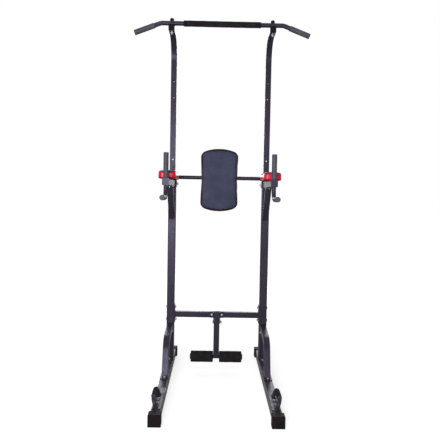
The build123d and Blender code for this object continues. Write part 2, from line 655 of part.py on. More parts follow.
def upright_grip():
    """The closed sleeve on the handle's upper end."""
    top = HANDLE_TOP + GRIP_END
    sleeve = rod_z(GRIP_RADIUS, UPRIGHT_X, HANDLE_AHEAD, ARM_TOP, top)
    sleeve = fillet(sleeve.edges().filter_by(GeomType.CIRCLE).sort_by(Axis.Z)[-1], 2.5)
    return sleeve - rod_z(HANDLE_RADIUS + SEAT_FIT, UPRIGHT_X, HANDLE_AHEAD, ARM_TOP, HANDLE_TOP)


def dip_grip():
    """The closed sleeve on the handle's forward end."""
    front = DIP_FRONT + GRIP_END
    back = front - DIP_GRIP_LENGTH
    sleeve = rod_y(GRIP_RADIUS, UPRIGHT_X, back, front, DIP_HEIGHT)
    sleeve = fillet(sleeve.edges().filter_by(GeomType.CIRCLE).sort_by(Axis.Y)[0], 2.5)
    return sleeve - rod_y(HANDLE_RADIUS + SEAT_FIT, UPRIGHT_X, back, DIP_FRONT, DIP_HEIGHT)


def pad_board():
    """The plywood board under an arm pad, drilled for its bolts."""
    half = PAD_WIDTH / 2 - PAD_BOARD_INSET
    ahead = (PAD_BACK + PAD_BOARD_INSET, PAD_FRONT - PAD_BOARD_INSET)
    board = block((UPRIGHT_X - half, UPRIGHT_X + half), ahead, (ARM_TOP, ARM_TOP + PAD_BOARD))
    board = fillet(board.edges().filter_by(Axis.Z), PAD_CORNER - PAD_BOARD_INSET)
    for place in PAD_BOLTS_AHEAD:
        board -= rod_z(SCREW / 2 + SEAT_FIT, UPRIGHT_X, place, ARM_TOP, ARM_TOP + PAD_BOARD)
    return board


def arm_pad():
    """The cushion of an arm: a rounded block."""
    half = PAD_WIDTH / 2
    z_range = (ARM_TOP + PAD_BOARD + SOFT_GAP, PAD_TOP)
    pad = block((UPRIGHT_X - half, UPRIGHT_X + half), (PAD_BACK, PAD_FRONT), z_range)
    pad = fillet(pad.edges().filter_by(Axis.Z), PAD_CORNER)
    return fillet(pad.edges().group_by(Axis.Z)[-1], PAD_EDGE)


def pad_bolts():
    """Bolts from under the arm, through tube and strut plate, into the board."""
    top = ARM_TOP + PAD_BOARD - 1
    faces = (ARM_BOTTOM - FLANGE_THICKNESS, ARM_BOTTOM)
    pieces = []
    for ahead, face in zip(PAD_BOLTS_AHEAD, faces):
        pieces.append(Pos(UPRIGHT_X, y_at(ahead), face) * Rot(180, 0, 0) * bolt(SCREW, top - face))
    return pieces


def upright_screws():
    """Short screws of the struts' lower plates and the backrest tube's end plates."""
    length = FLANGE_THICKNESS + POST_WALL
    pieces = []
    for x in strut_screw_xs():
        face = y_at(POST_FACE + FLANGE_THICKNESS)
        pieces.append(Pos(x, face, STRUT_SCREW_HEIGHT) * Rot(90, 0, 0) * bolt(SCREW, length))
    for ahead in back_tube_screw_places():
        face = INNER_FACE - FLANGE_THICKNESS
        pieces.append(Pos(face, y_at(ahead), BACK_TUBE_HEIGHT) * Rot(0, -90, 0) * bolt(SCREW, length))
    return pieces


# ---- backrest ----
def back_tube_screw_places():
    """Distances ahead of the end plate's screws, clear of the tube."""
    place = BACK_TUBE_RADIUS + SCREW + 0.5
    return -place, place


def backrest_tube():
    """The round tube between the uprights, with a plate at each end."""
    span = INNER_FACE - FLANGE_THICKNESS
    tube = rod_x(BACK_TUBE_RADIUS, -span, span, 0, BACK_TUBE_HEIGHT)
    tube -= rod_x(BACK_TUBE_RADIUS - BACK_TUBE_WALL, -span, span, 0, BACK_TUBE_HEIGHT)
    half = UPRIGHT_TOP - BACK_TUBE_HEIGHT
    z_range = (BACK_TUBE_HEIGHT - half, BACK_TUBE_HEIGHT + half)
    plate = block((span, INNER_FACE), (-POST_FACE, POST_FACE), z_range)
    for ahead in back_tube_screw_places():
        plate -= rod_x(SCREW / 2 + SEAT_FIT, span, INNER_FACE, ahead, BACK_TUBE_HEIGHT)
    return tube + plate + mirrored(plate)


def back_bolt_places():
    """The x and z of the four backrest bolts."""
    return [(x, BACK_TUBE_HEIGHT + z) for x in (-BACK_BOLT_X, BACK_BOLT_X) for z in (-BACK_BOLT_Z, BACK_BOLT_Z)]


def backrest_bracket():
    """The plate behind the backrest, with two clamps round the tube."""
    half_x = BACK_PLATE_WIDTH / 2
    half_z = BACK_PLATE_HEIGHT / 2
    face = BACK_PLATE_AHEAD + BACK_PLATE_THICKNESS
    z_range = (BACK_TUBE_HEIGHT - half_z, BACK_TUBE_HEIGHT + half_z)
    bracket = block((-half_x, half_x), (BACK_PLATE_AHEAD, face), z_range)
    bracket = fillet(bracket.edges().filter_by(Axis.Y), 10.0)
    clamp = BACK_TUBE_RADIUS + 6
    for x in (-BACK_CLAMP_X, BACK_CLAMP_X):
        ear_x = (x - 4, x + 4)
        bracket += block(ear_x, (0, BACK_PLATE_AHEAD), (BACK_TUBE_HEIGHT - clamp, BACK_TUBE_HEIGHT + clamp))
        bracket += rod_x(clamp, *ear_x, 0, BACK_TUBE_HEIGHT)
    bracket -= rod_x(BACK_TUBE_RADIUS + SEAT_FIT, -half_x, half_x, 0, BACK_TUBE_HEIGHT)
    for x, z in back_bolt_places():
        bracket -= rod_y(SMALL_BOLT / 2 + HOLE_CLEARANCE, x, BACK_PLATE_AHEAD, face, z)
    return bracket


def arched_panel(width, height, corner, back, front):
    """An upright panel with straight sides, arched top and bottom and rounded corners."""
    half = width / 2
    shoulder = height / 2 - BACK_PAD_RISE
    tip = height / 2
    outline = [
        Line((half, -shoulder), (half, shoulder)),
        ThreePointArc((half, shoulder), (0, tip), (-half, shoulder)),
        Line((-half, shoulder), (-half, -shoulder)),
        ThreePointArc((-half, -shoulder), (0, -tip), (half, -shoulder)),
    ]
    face = make_face(outline)
    face = fillet(face.vertices(), corner)
    place = Pos(0, y_at(back), BACK_PAD_CENTRE) * Rot(90, 0, 0)
    return place * extrude(face, amount=front - back)


def backrest_board():
    """The plywood board of the backrest, drilled for its bolts."""
    back = BACK_PLATE_AHEAD + BACK_PLATE_THICKNESS
    inset = 2 * BACK_BOARD_INSET
    board = arched_panel(
        BACK_PAD_WIDTH - inset, BACK_PAD_HEIGHT - inset, BACK_PAD_CORNER - BACK_BOARD_INSET, back, back + BACK_BOARD
    )
    for x, z in back_bolt_places():
        board -= rod_y(SMALL_BOLT / 2 + SEAT_FIT, x, back, back + BACK_BOARD, z)
    return board


def backrest_pad():
    """The back cushion."""
    back = BACK_PLATE_AHEAD + BACK_PLATE_THICKNESS + BACK_BOARD + SOFT_GAP
    pad = arched_panel(BACK_PAD_WIDTH, BACK_PAD_HEIGHT, BACK_PAD_CORNER, back, BACK_PAD_FRONT)
    return fillet(pad.edges().group_by(Axis.Y)[0], PAD_EDGE)


def backrest_bolts():
    """Bolts from behind the bracket into the board."""
    length = BACK_PLATE_THICKNESS + BACK_BOARD - 1
    return [Pos(x, y_at(BACK_PLATE_AHEAD), z) * Rot(-90, 0, 0) * bolt(SMALL_BOLT, length) for x, z in back_bolt_places()]


# ---- telescoping joint ----
def guide_sleeve():
    """The moulded guide in the top of a main upright."""
    flange = upright_block(SLEEVE_WIDTH, UPRIGHT_TOP, UPRIGHT_TOP + SLEEVE_FLANGE)
    skirt_size = POST_SIZE - 2 * POST_WALL - 2 * SPIGOT_FIT
    sleeve = flange + upright_block(skirt_size, UPRIGHT_TOP - SLEEVE_SKIRT, UPRIGHT_TOP)
    bore = UPPER_SIZE + 2 * SLIDE_FIT
    sleeve -= upright_block(bore, UPRIGHT_TOP - SLEEVE_SKIRT, UPRIGHT_TOP + SLEEVE_FLANGE)
    return sleeve - rod_y(LOCK_HOLE_RADIUS, UPRIGHT_X, -POST_FACE, 0, LOCK_HEIGHT)


def upright_block(size, low_z, high_z):
    """A square block on the upright's axis with the tubes' rounded corners."""
    return Pos(UPRIGHT_X, y_at(0), low_z) * extrude(RectangleRounded(size, size, CORNER), high_z - low_z)


def lock_chamber():
    """The spring chamber's two ends, as distances ahead of the upright plane."""
    return -POST_FACE - LOCK_BOSS_LENGTH + LOCK_BOSS_WALL, -POST_FACE - LOCK_BOSS_WALL


def lock_housing():
    """The boss on the upright's rear face that guides the lock pin."""
    boss_end = -POST_FACE - LOCK_BOSS_LENGTH
    boss = rod_y(LOCK_BOSS_RADIUS, UPRIGHT_X, boss_end, -POST_FACE, LOCK_HEIGHT)
    boss -= rod_y(LOCK_PIN_RADIUS + SEAT_FIT, UPRIGHT_X, boss_end, -POST_FACE, LOCK_HEIGHT)
    rear, front = lock_chamber()
    return boss - rod_y(LOCK_BOSS_RADIUS - LOCK_COLLAR_LENGTH, UPRIGHT_X, rear, front, LOCK_HEIGHT)


def lock_pin():
    """The pull pin with its spring collar and its moulded-on knob."""
    nose = -UPPER_SIZE / 2 - LOCK_NOSE_GAP
    knob_front = -POST_FACE - LOCK_BOSS_LENGTH - LOCK_KNOB_STANDOFF
    tail = knob_front - LOCK_KNOB_LENGTH * 2 / 3
    pin = rod_y(LOCK_PIN_RADIUS, UPRIGHT_X, tail, nose, LOCK_HEIGHT)
    front = lock_chamber()[1] - SOFT_GAP
    collar = LOCK_BOSS_RADIUS - LOCK_COLLAR_LENGTH - 2 * SEAT_FIT
    pin += rod_y(collar, UPRIGHT_X, front - LOCK_COLLAR_LENGTH, front, LOCK_HEIGHT)
    return pin + lock_knob()


def lock_knob():
    """The lobed knob that is moulded on the pull pin."""
    front = -POST_FACE - LOCK_BOSS_LENGTH - LOCK_KNOB_STANDOFF
    back = front - LOCK_KNOB_LENGTH
    knob = rod_y(LOCK_KNOB_RADIUS, UPRIGHT_X, back, front, LOCK_HEIGHT)
    knob = fillet(knob.edges().filter_by(GeomType.CIRCLE), 3.0)
    lobes = 6
    for index in range(lobes):
        angle = math.radians(360 / lobes * index)
        reach = LOCK_KNOB_RADIUS + LOCK_PIN_RADIUS
        x = UPRIGHT_X + reach * math.cos(angle)
        knob -= rod_y(LOCK_PIN_RADIUS * 1.5, x, back, front, LOCK_HEIGHT + reach * math.sin(angle))
    return knob


def lock_spring():
    """The coil spring between the pin's collar and the housing's rear wall."""
    rear = lock_chamber()[0]
    front = lock_chamber()[1] - SOFT_GAP - LOCK_COLLAR_LENGTH
    wire = 0.8
    room = front - rear - 2 * (wire + SOFT_GAP / 2)
    coil = (LOCK_PIN_RADIUS + LOCK_BOSS_RADIUS - LOCK_COLLAR_LENGTH) / 2
    path = Helix(pitch=room / 4, height=room, radius=coil)
    start = Plane(origin=path @ 0, z_dir=path % 0)
    spring = sweep(start * Circle(wire), path, is_frenet=True)
    return Pos(UPRIGHT_X, y_at(front - wire - SOFT_GAP / 2), LOCK_HEIGHT) * Rot(-90, 0, 0) * spring


# ---- sliding upper frame ----
def upper_upright():
    """The inner tube: straight in the guide, bent forward at the top, drilled for the lock pin."""
    points = [
        (UPRIGHT_X, y_at(0), UPPER_BOTTOM),
        (UPRIGHT_X, y_at(0), UPPER_RUN_HEIGHT),
        (UPRIGHT_X, y_at(UPPER_FRONT), UPPER_RUN_HEIGHT),
    ]
    outer, inner = box_section(UPPER_SIZE, UPPER_SIZE, UPPER_WALL)
    tube = sweep_along(FilletPolyline(points, radius=UPPER_BEND_RADIUS), outer, inner)
    for step in LOCK_STEPS:
        tube -= rod_y(LOCK_HOLE_RADIUS, UPRIGHT_X, -UPPER_SIZE, UPPER_SIZE, LOCK_HEIGHT + step)
    half = UPPER_SIZE / 2
    hole = FRAME_BOLT / 2 + HOLE_CLEARANCE
    return tube - rod_z(hole, UPRIGHT_X, BAR_AHEAD, UPPER_RUN_HEIGHT - half, UPPER_RUN_HEIGHT + half)


def upper_plugs():
    """The end plugs of an inner tube: one at its front end, one at its bottom."""
    front = Pos(UPRIGHT_X, y_at(UPPER_FRONT), UPPER_RUN_HEIGHT) * Rot(90, 0, 0)
    bottom = Pos(UPRIGHT_X, y_at(0), UPPER_BOTTOM) * Rot(180, 0, 0)
    plug = tube_plug(UPPER_SIZE, UPPER_WALL, 3, 15)
    return [front * plug, bottom * plug]


def bar_tip():
    """The x and z of the bar's right-hand end on its axis."""
    drop = (BAR_TIP_X - BAR_BEND_X) * math.tan(math.radians(BAR_DROP_ANGLE))
    return BAR_TIP_X, BAR_HEIGHT - drop


def pull_up_bar():
    """The pull-up bar: straight across the uprights, with ends that slope down."""
    tip_x, tip_z = bar_tip()
    y = y_at(BAR_AHEAD)
    points = [(-tip_x, y, tip_z), (-BAR_BEND_X, y, BAR_HEIGHT), (BAR_BEND_X, y, BAR_HEIGHT), (tip_x, y, tip_z)]
    bar = sweep_round(FilletPolyline(points, radius=BAR_BEND_RADIUS), BAR_RADIUS, BAR_WALL, (0, 1, 0))
    for x in (-UPRIGHT_X, UPRIGHT_X):
        bar -= rod_z(FRAME_BOLT / 2 + HOLE_CLEARANCE, x, BAR_AHEAD, BAR_HEIGHT - BAR_RADIUS * 2, BAR_CROWN)
    return bar


def bar_centre_grip():
    """The foam sleeve at the middle of the bar."""
    half = CENTRE_GRIP_LENGTH / 2
    solid = rod_x(CENTRE_GRIP_RADIUS, -half, half, BAR_AHEAD, BAR_HEIGHT)
    solid = fillet(solid.edges().filter_by(GeomType.CIRCLE), 1.5)
    return solid - rod_x(BAR_RADIUS + SEAT_FIT, -half, half, BAR_AHEAD, BAR_HEIGHT)


def bar_end_grip():
    """The closed grip on the sloping end of the bar."""
    tip_x, tip_z = bar_tip()
    place = Pos(tip_x, y_at(BAR_AHEAD), tip_z) * Rot(0, 90 + BAR_DROP_ANGLE, 0)
    outer = Pos(0, 0, GRIP_END - END_GRIP_LENGTH / 2) * Cylinder(END_GRIP_RADIUS, END_GRIP_LENGTH)
    outer = fillet(outer.edges().filter_by(GeomType.CIRCLE), 2.0)
    bore = Pos(0, 0, -END_GRIP_LENGTH / 2) * Cylinder(BAR_RADIUS + SEAT_FIT, END_GRIP_LENGTH)
    return place * (outer - bore)


def bar_fasteners():
    """The bolt that clamps the bar on a tube, with its washer and nut."""
    under = UPPER_RUN_HEIGHT - UPPER_SIZE / 2
    washer = 2.0
    length = BAR_CROWN - under + washer + FRAME_BOLT * NUT_HEIGHT + 7
    place = y_at(BAR_AHEAD)
    ring = rod_z(FRAME_BOLT, UPRIGHT_X, BAR_AHEAD, under - washer, under)
    ring -= rod_z(FRAME_BOLT / 2 + SEAT_FIT, UPRIGHT_X, BAR_AHEAD, under - washer, under)
    return [
        Pos(UPRIGHT_X, place, BAR_CROWN) * bolt(FRAME_BOLT, length),
        ring,
        Pos(UPRIGHT_X, place, under - washer) * Rot(180, 0, 0) * nut(FRAME_BOLT),
    ]


def bar_bolt_cap():
    """The domed cap over the bolt head."""
    straight = BAR_CAP_HEIGHT - BAR_CAP_RADIUS * 0.7
    top = BAR_CROWN + BAR_CAP_HEIGHT
    cap = rod_z(BAR_CAP_RADIUS, UPRIGHT_X, BAR_AHEAD, BAR_CROWN, top)
    cap = fillet(cap.edges().filter_by(GeomType.CIRCLE).sort_by(Axis.Z)[-1], BAR_CAP_HEIGHT - straight)
    head_room = FRAME_BOLT * HEAD_HEIGHT + SOFT_GAP
    pocket = FRAME_BOLT * HEAD_ACROSS / math.sqrt(3) + SOFT_GAP
    return cap - rod_z(pocket, UPRIGHT_X, BAR_AHEAD, BAR_CROWN, BAR_CROWN + head_room)


# ---- push-up handles ----
def push_up_handle():
    """A leaning U of round tube welded on a plate."""
    low = RAIL_TOP
    lean = PUSH_LEAN
    points = [
        (UPRIGHT_X, y_at(PUSH_BACK), low),
        (UPRIGHT_X + lean, y_at(PUSH_BACK), PUSH_GRIP_HEIGHT),
        (UPRIGHT_X + lean, y_at(PUSH_FRONT), PUSH_GRIP_HEIGHT),
        (UPRIGHT_X, y_at(PUSH_FRONT), low),
    ]
    tube = sweep_round(FilletPolyline(points, radius=PUSH_BEND_RADIUS), PUSH_TUBE_RADIUS, PUSH_TUBE_WALL, (0, 1, 0))
    half = PUSH_PLATE_WIDTH / 2
    back = PUSH_BACK - PUSH_PLATE_MARGIN
    front = PUSH_FRONT + PUSH_PLATE_MARGIN
    tube -= block((UPRIGHT_X - POST_SIZE, UPRIGHT_X + POST_SIZE), (back - 20, front + 20), (0, FLANGE_TOP))
    plate = block((UPRIGHT_X - half, UPRIGHT_X + half), (back, front), (RAIL_TOP, FLANGE_TOP))
    plate = fillet(plate.edges().filter_by(Axis.Z), 8.0)
    for ahead in PUSH_BOLTS_AHEAD:
        plate -= rod_z(FRAME_BOLT / 2 + HOLE_CLEARANCE, UPRIGHT_X, ahead, RAIL_TOP, FLANGE_TOP)
    return tube + plate


def push_up_grip():
    """The foam sleeve on a push-up handle."""
    centre = (PUSH_BACK + PUSH_FRONT) / 2
    half = PUSH_GRIP_LENGTH / 2
    x = UPRIGHT_X + PUSH_LEAN
    solid = rod_y(PUSH_GRIP_RADIUS, x, centre - half, centre + half, PUSH_GRIP_HEIGHT)
    solid = fillet(solid.edges().filter_by(GeomType.CIRCLE), 2.0)
    return solid - rod_y(PUSH_TUBE_RADIUS + SEAT_FIT, x, centre - half, centre + half, PUSH_GRIP_HEIGHT)


def main():
    """Write every node of the tower."""
    os.makedirs("parts", exist_ok=True)
    write_sides("base_rail", base_rail())
    front_foot = foot(BASE_FRONT - FOOT_LENGTH, BASE_FRONT, False)
    rear_foot = foot(-REAR_OVERHANG, -REAR_OVERHANG + FOOT_LENGTH, True)
    write_both("feet", front_foot, rear_foot)
    write_sides("lower_post", lower_post())
    write_sides("brace", brace())
    write_both("spigots", spigot())
    write_sides("main_upright", main_upright())
    write("cross_member", cross_member())
    write_both("cross_bolts", *cross_bolts())
    write_both("frame_bolts", *frame_bolts())

    write("leg_bracket", leg_bracket())
    write("leg_bracket_bolts", *leg_bracket_bolts())
    write("leg_pivot_pin", leg_pivot_pin())
    write("pivot_clip", pivot_clip())
    write("leg_post", leg_post())
    top_plug = Pos(0, y_at(LEG_POST_AHEAD), LEG_POST_TOP) * tube_plug(LEG_POST_SIZE, LEG_POST_WALL, 2, 12)
    write("roller_axle", roller_axle())
    write("leg_plugs", top_plug, axle_cap(), mirrored(axle_cap()))
    write_sides("roller_foam", roller_sleeve(ROLLER_RADIUS, ROLLER_CORE_RADIUS + SEAT_FIT))
    write_sides("roller_core", roller_sleeve(ROLLER_CORE_RADIUS, AXLE_RADIUS + SEAT_FIT))

    write_sides("arm", arm())
    write_both("arm_bolts", *arm_bolts())
    write_both("arm_end_plugs", arm_end_plug())
    write_sides("arm_strut", arm_strut())
    write_sides("handle_tube", handle_tube())
    write_both("upright_grips", upright_grip())
    write_both("dip_grips", dip_grip())
    write_both("pad_boards", pad_board())
    write_sides("arm_pad", arm_pad())
    write_both("pad_bolts", *pad_bolts())
    write_both("upright_screws", *upright_screws())

    write("backrest_tube", backrest_tube())
    write("backrest_bracket", backrest_bracket())
    write("backrest_board", backrest_board())
    write("backrest_pad", backrest_pad())
    write("backrest_bolts", *backrest_bolts())

    write_both("guide_sleeves", guide_sleeve())
    write_both("lock_housings", lock_housing())
    write_sides("lock_pin", lock_pin())
    write_both("lock_springs", lock_spring())

    write_sides("upper_upright", upper_upright())
    write_both("upper_plugs", *upper_plugs())
    write("pull_up_bar", pull_up_bar())
    write("bar_centre_grip", bar_centre_grip())
    write_both("bar_end_grips", bar_end_grip())
    write_both("bar_fasteners", *bar_fasteners())
    write_both("bar_bolt_caps", bar_bolt_cap())

    write_sides("push_up_handle", push_up_handle())
    write_both("push_up_grips", push_up_grip())


main()
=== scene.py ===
import math

import bmesh
import bpy
import numpy as np
from bpy.props import FloatProperty, FloatVectorProperty, PointerProperty
from mathutils import Matrix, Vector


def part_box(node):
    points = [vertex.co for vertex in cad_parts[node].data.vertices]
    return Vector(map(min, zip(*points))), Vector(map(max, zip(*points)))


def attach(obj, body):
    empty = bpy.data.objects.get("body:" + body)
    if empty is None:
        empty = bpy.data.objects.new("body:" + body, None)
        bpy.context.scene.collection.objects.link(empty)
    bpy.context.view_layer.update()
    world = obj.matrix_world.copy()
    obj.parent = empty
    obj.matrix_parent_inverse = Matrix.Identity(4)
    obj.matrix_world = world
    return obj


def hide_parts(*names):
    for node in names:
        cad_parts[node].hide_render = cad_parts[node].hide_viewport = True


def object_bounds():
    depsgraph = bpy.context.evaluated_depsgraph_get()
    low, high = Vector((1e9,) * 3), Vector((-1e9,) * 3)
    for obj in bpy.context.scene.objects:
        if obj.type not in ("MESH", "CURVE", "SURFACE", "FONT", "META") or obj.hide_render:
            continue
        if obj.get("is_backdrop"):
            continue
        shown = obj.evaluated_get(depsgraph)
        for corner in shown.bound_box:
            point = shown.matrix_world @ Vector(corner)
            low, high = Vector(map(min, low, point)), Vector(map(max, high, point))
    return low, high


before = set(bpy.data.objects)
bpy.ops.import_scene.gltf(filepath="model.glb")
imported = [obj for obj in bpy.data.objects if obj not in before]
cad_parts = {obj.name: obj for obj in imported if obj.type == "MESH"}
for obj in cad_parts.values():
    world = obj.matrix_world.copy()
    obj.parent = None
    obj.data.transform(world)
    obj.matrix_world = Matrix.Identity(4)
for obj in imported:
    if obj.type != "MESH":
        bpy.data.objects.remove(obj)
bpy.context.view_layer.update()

bl_info = {
    "name": "Power Tower",
    "version": (1, 0, 0),
    "blender": (4, 5, 0),
    "location": "3D View > Sidebar > Power Tower",
    "description": "Finishes, cushions, foam sleeves, welds and studio of a power tower",
    "category": "Add Mesh",
}

MM = 0.001
FULL_TURN = 2 * math.pi

# ---- the tower's own places, from the frame ----
LABEL_BEHIND_FRONT = 309 * MM
LABEL_LENGTH = 75 * MM
LABEL_WIDTH = 26 * MM
BAR_DROP = math.radians(21)
GRIP_CAP = 4 * MM

# ---- the studio camera ----
CAMERA_PLACE = (-0.03274, -3.1482, 1.1598)
CAMERA_YAW = 0.0123
CAMERA_PITCH = 0.0482
CAMERA_ROLL = 0.0189
CAMERA_LENS = 42.856
CAMERA_SENSOR = 36.0

# ---- the tint of the highlights on the coat and the backrest ----
COOL_SHEEN = (0.70, 0.67, 1.0)


def node_box(*nodes):
    """The lowest and highest corners of one or more CAD nodes together."""
    corners = np.array([[list(corner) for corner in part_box(node)] for node in nodes])
    return corners[:, 0].min(0), corners[:, 1].max(0)


# ---- settings ----
def colour(name, description, default):
    """A colour property."""
    return FloatVectorProperty(
        name=name, description=description, subtype="COLOR", size=3, default=default, min=0, max=1
    )


def length(name, description, default):
    """A length property in metres."""
    return FloatProperty(name=name, description=description, default=default, min=0, unit="LENGTH", precision=4)


def share(name, description, default):
    """A property between 0 and 1."""
    return FloatProperty(name=name, description=description, default=default, min=0, max=1, subtype="FACTOR")


class TowerFinishes(bpy.types.PropertyGroup):
    """Colours and gloss of the hard pieces."""

    coat: colour("Powder coat", "Black coat of the steel tubes", (0.022, 0.018, 0.027))
    coat_gloss: share("Coat roughness", "Roughness of the powder coat", 0.30)
    zinc: colour("Zinc", "Plated bolts, nuts and pins", (0.30, 0.30, 0.33))
    plastic: colour("Plastic", "Shoes, plugs, caps and guides", (0.009, 0.006, 0.008))
    board: colour("Plywood", "Boards under the cushions", (0.52, 0.37, 0.21))


class TowerCushions(bpy.types.PropertyGroup):
    """Shape and covers of the arm pads and the backrest."""

    # The panel colour also gives the backrest's seam piping its lighter tone, a painted highlight on the bead.
    panel: colour("Panel", "Grained vinyl of the faces", (0.036, 0.040, 0.068))
    # The near-black border colour darkens the rounded edge of the backrest's face and the arm pads' top and bottom
    # rims; it also covers the cushions' backs.
    border: colour("Border", "Black vinyl of the borders and piping", (0.008, 0.007, 0.009))
    gusset: colour("Gusset", "Red vinyl of the side walls", (0.56, 0.006, 0.026))
    piping: length("Piping radius", "Radius of the sewn piping", 0.0017)
    voxel: length("Mesh size", "Spacing of the cloth's mesh", 0.005)
    shrink: length("Cut smaller", "How much smaller the cover is cut than the stuffed pad", 0.0035)
    swell: length("Swell", "Furthest that the stuffing may push the cover", 0.007)
    give: share("Side give", "Share of the sideways swelling that the sewn wall lets through", 0.3)
    pressure: FloatProperty(name="Pressure", description="Pressure of the stuffing", default=4.0, min=0)
    seam_depth: length("Seam depth", "How deep a seam pulls the cover in", 0.0016)
    # The near-black band round the backrest's face is this wide at its sides and wider towards both ends, darkening
    # the face's rounded edge.
    border_side: length("Border", "Width of the backrest's border at its sides", 0.012)
    border_ends: length("Border ends", "How much wider that border is at both ends", 0.008)
    arm_seam: length("Arm seam", "How far the arm pads' top seam lies from the edge", 0.006)


class TowerSleeves(bpy.types.PropertyGroup):
    """Foam and rubber sleeves."""

    foam: colour("Foam", "Closed-cell foam of rollers and bar", (0.012, 0.010, 0.013))
    rubber: colour("Grip rubber", "Smooth rubber of the grips", (0.048, 0.048, 0.066))
    foam_rim: length("Foam rim", "Rounding of the foam's ends", 0.006)
    grip_rim: length("Grip rim", "Rounding of the grips' ends", 0.0028)
    unevenness: length("Unevenness", "How far the foam's surface wanders", 0.0004)


class TowerDetails(bpy.types.PropertyGroup):
    """Small pieces that the frame carries."""

    weld: length("Weld radius", "Radius of the weld beads", 0.0022)
    ripple: share("Weld ripple", "Depth of the ripples in a bead", 0.16)
    label: colour("Label", "Blank label on the left rail", (0.15, 0.15, 0.18))
    label_thickness: length("Label thickness", "Thickness of the blank label", 0.0004)


class TowerStage(bpy.types.PropertyGroup):
    """Lamps and floor."""

    front: FloatProperty(name="Front lamp", description="Power of the front softbox", default=205, unit="POWER")
    side: FloatProperty(name="Side lamps", description="Power of each side strip", default=6, unit="POWER")
    back: FloatProperty(name="Back lamp", description="Power of the rear softbox", default=34, unit="POWER")
    top: FloatProperty(name="Top lamp", description="Power of the overhead lamp", default=12, unit="POWER")
    sky: FloatProperty(name="Sky", description="Strength of the plain surroundings as light", default=0.15, min=0)
    floor_lift: FloatProperty(name="Floor lift", description="White added to the floor as seen", default=0.62, min=0)
    floor_near: length("Floor near", "Where the floor starts to turn white", 1.3)
    floor_far: length("Floor far", "Where the floor is all white", 2.6)


# ---- material nodes ----
class Shader:
    """A small builder for a procedural material on Object coordinates."""

    def __init__(self, name, base, roughness, metallic=0.0, specular=0.5, coat=0.0, sheen=(1, 1, 1)):
        self.material = bpy.data.materials.new(name)
        self.material.use_nodes = True
        self.tree = self.material.node_tree
        self.bsdf = self.tree.nodes["Principled BSDF"]
        self.base = tuple(base)
        self.set(self.bsdf, "Metallic", metallic)
        self.set(self.bsdf, "Roughness", roughness)
        self.set(self.bsdf, "Specular IOR Level", specular)
        self.set(self.bsdf, "Specular Tint", (*sheen, 1))
        self.set(self.bsdf, "Coat Weight", coat)
        self.set(self.bsdf, "Coat Roughness", 0.15)
        self.coordinates = self.tree.nodes.new("ShaderNodeTexCoord").outputs["Object"]
        self.bumps = None

    def set(self, node, socket, value):
        """Set a socket's own value."""
        node.inputs[socket].default_value = value

    def join(self, source, node, socket):
        """Link an output to an input."""
        self.tree.links.new(source, node.inputs[socket])

    def stretched(self, scale):
        """Object coordinates scaled along each axis."""
        mapping = self.tree.nodes.new("ShaderNodeMapping")
        self.join(self.coordinates, mapping, "Vector")
        self.set(mapping, "Scale", scale)
        return mapping.outputs["Vector"]

    def noise(self, scale, detail=2.0, rough=0.5, source=None):
        """Cloudy noise."""
        node = self.tree.nodes.new("ShaderNodeTexNoise")
        self.join(source or self.coordinates, node, "Vector")
        self.set(node, "Scale", scale)
        self.set(node, "Detail", detail)
        self.set(node, "Roughness", rough)
        return node.outputs["Fac"]

    def cells(self, scale, source=None):
        """Rounded cells, as in leather grain."""
        node = self.tree.nodes.new("ShaderNodeTexVoronoi")
        node.feature = "SMOOTH_F1"
        self.join(source or self.coordinates, node, "Vector")
        self.set(node, "Scale", scale)
        return node.outputs["Distance"]

    def spread(self, source, low, high):
        """Map a middling noise to a range."""
        node = self.tree.nodes.new("ShaderNodeMapRange")
        self.join(source, node, "Value")
        self.set(node, "From Min", 0.3)
        self.set(node, "From Max", 0.7)
        self.set(node, "To Min", low)
        self.set(node, "To Max", high)
        return node.outputs["Result"]

    def tint(self, source, dark, light):
        """Vary the base colour between two multiples of itself."""
        ramp = self.tree.nodes.new("ShaderNodeValToRGB")
        self.join(source, ramp, "Fac")
        for element, place, factor in zip(ramp.color_ramp.elements, (0.3, 0.7), (dark, light)):
            element.position = place
            element.color = (*[min(1.0, channel * factor) for channel in self.base], 1)
        self.join(ramp.outputs["Color"], self.bsdf, "Base Color")
        return ramp

    def rough(self, source, low, high):
        """Vary the roughness."""
        self.join(self.spread(source, low, high), self.bsdf, "Roughness")

    def bump(self, source, strength, distance):
        """Add a layer of relief."""
        node = self.tree.nodes.new("ShaderNodeBump")
        self.join(source, node, "Height")
        self.set(node, "Strength", strength)
        self.set(node, "Distance", distance)
        if self.bumps:
            self.join(self.bumps, node, "Normal")
        self.bumps = node.outputs["Normal"]
        self.join(self.bumps, self.bsdf, "Normal")


def powder_coat(settings):
    """Black powder coat: fine orange peel, slight clouds in colour and gloss."""
    shader = Shader("black_powder_coat", settings.coat, settings.coat_gloss, specular=0.17, sheen=COOL_SHEEN)
    shader.tint(shader.noise(7.0, 3.0), 0.80, 1.22)
    shader.rough(shader.noise(34.0, 4.0), settings.coat_gloss - 0.05, settings.coat_gloss + 0.07)
    shader.bump(shader.noise(520.0, 2.0), 0.22, 0.0004)
    shader.bump(shader.noise(90.0, 2.0), 0.05, 0.001)
    return shader.material


def plated_zinc(settings):
    """Bright zinc plate: faint turned lines and clouded gloss."""
    shader = Shader("zinc_plate", settings.zinc, 0.45, metallic=1.0)
    shader.tint(shader.noise(160.0, 3.0), 0.82, 1.10)
    shader.rough(shader.noise(240.0, 3.0), 0.38, 0.52)
    shader.bump(shader.noise(900.0, 1.0, source=shader.stretched((1, 1, 5))), 0.10, 0.0002)
    return shader.material


def moulded_plastic(settings):
    """Black moulded plastic with a spark-eroded grain."""
    shader = Shader("moulded_plastic", settings.plastic, 0.50, specular=0.05)
    shader.tint(shader.noise(22.0, 3.0), 0.82, 1.25)
    shader.rough(shader.noise(60.0, 3.0), 0.42, 0.58)
    shader.bump(shader.noise(1100.0, 1.0), 0.30, 0.0003)
    return shader.material


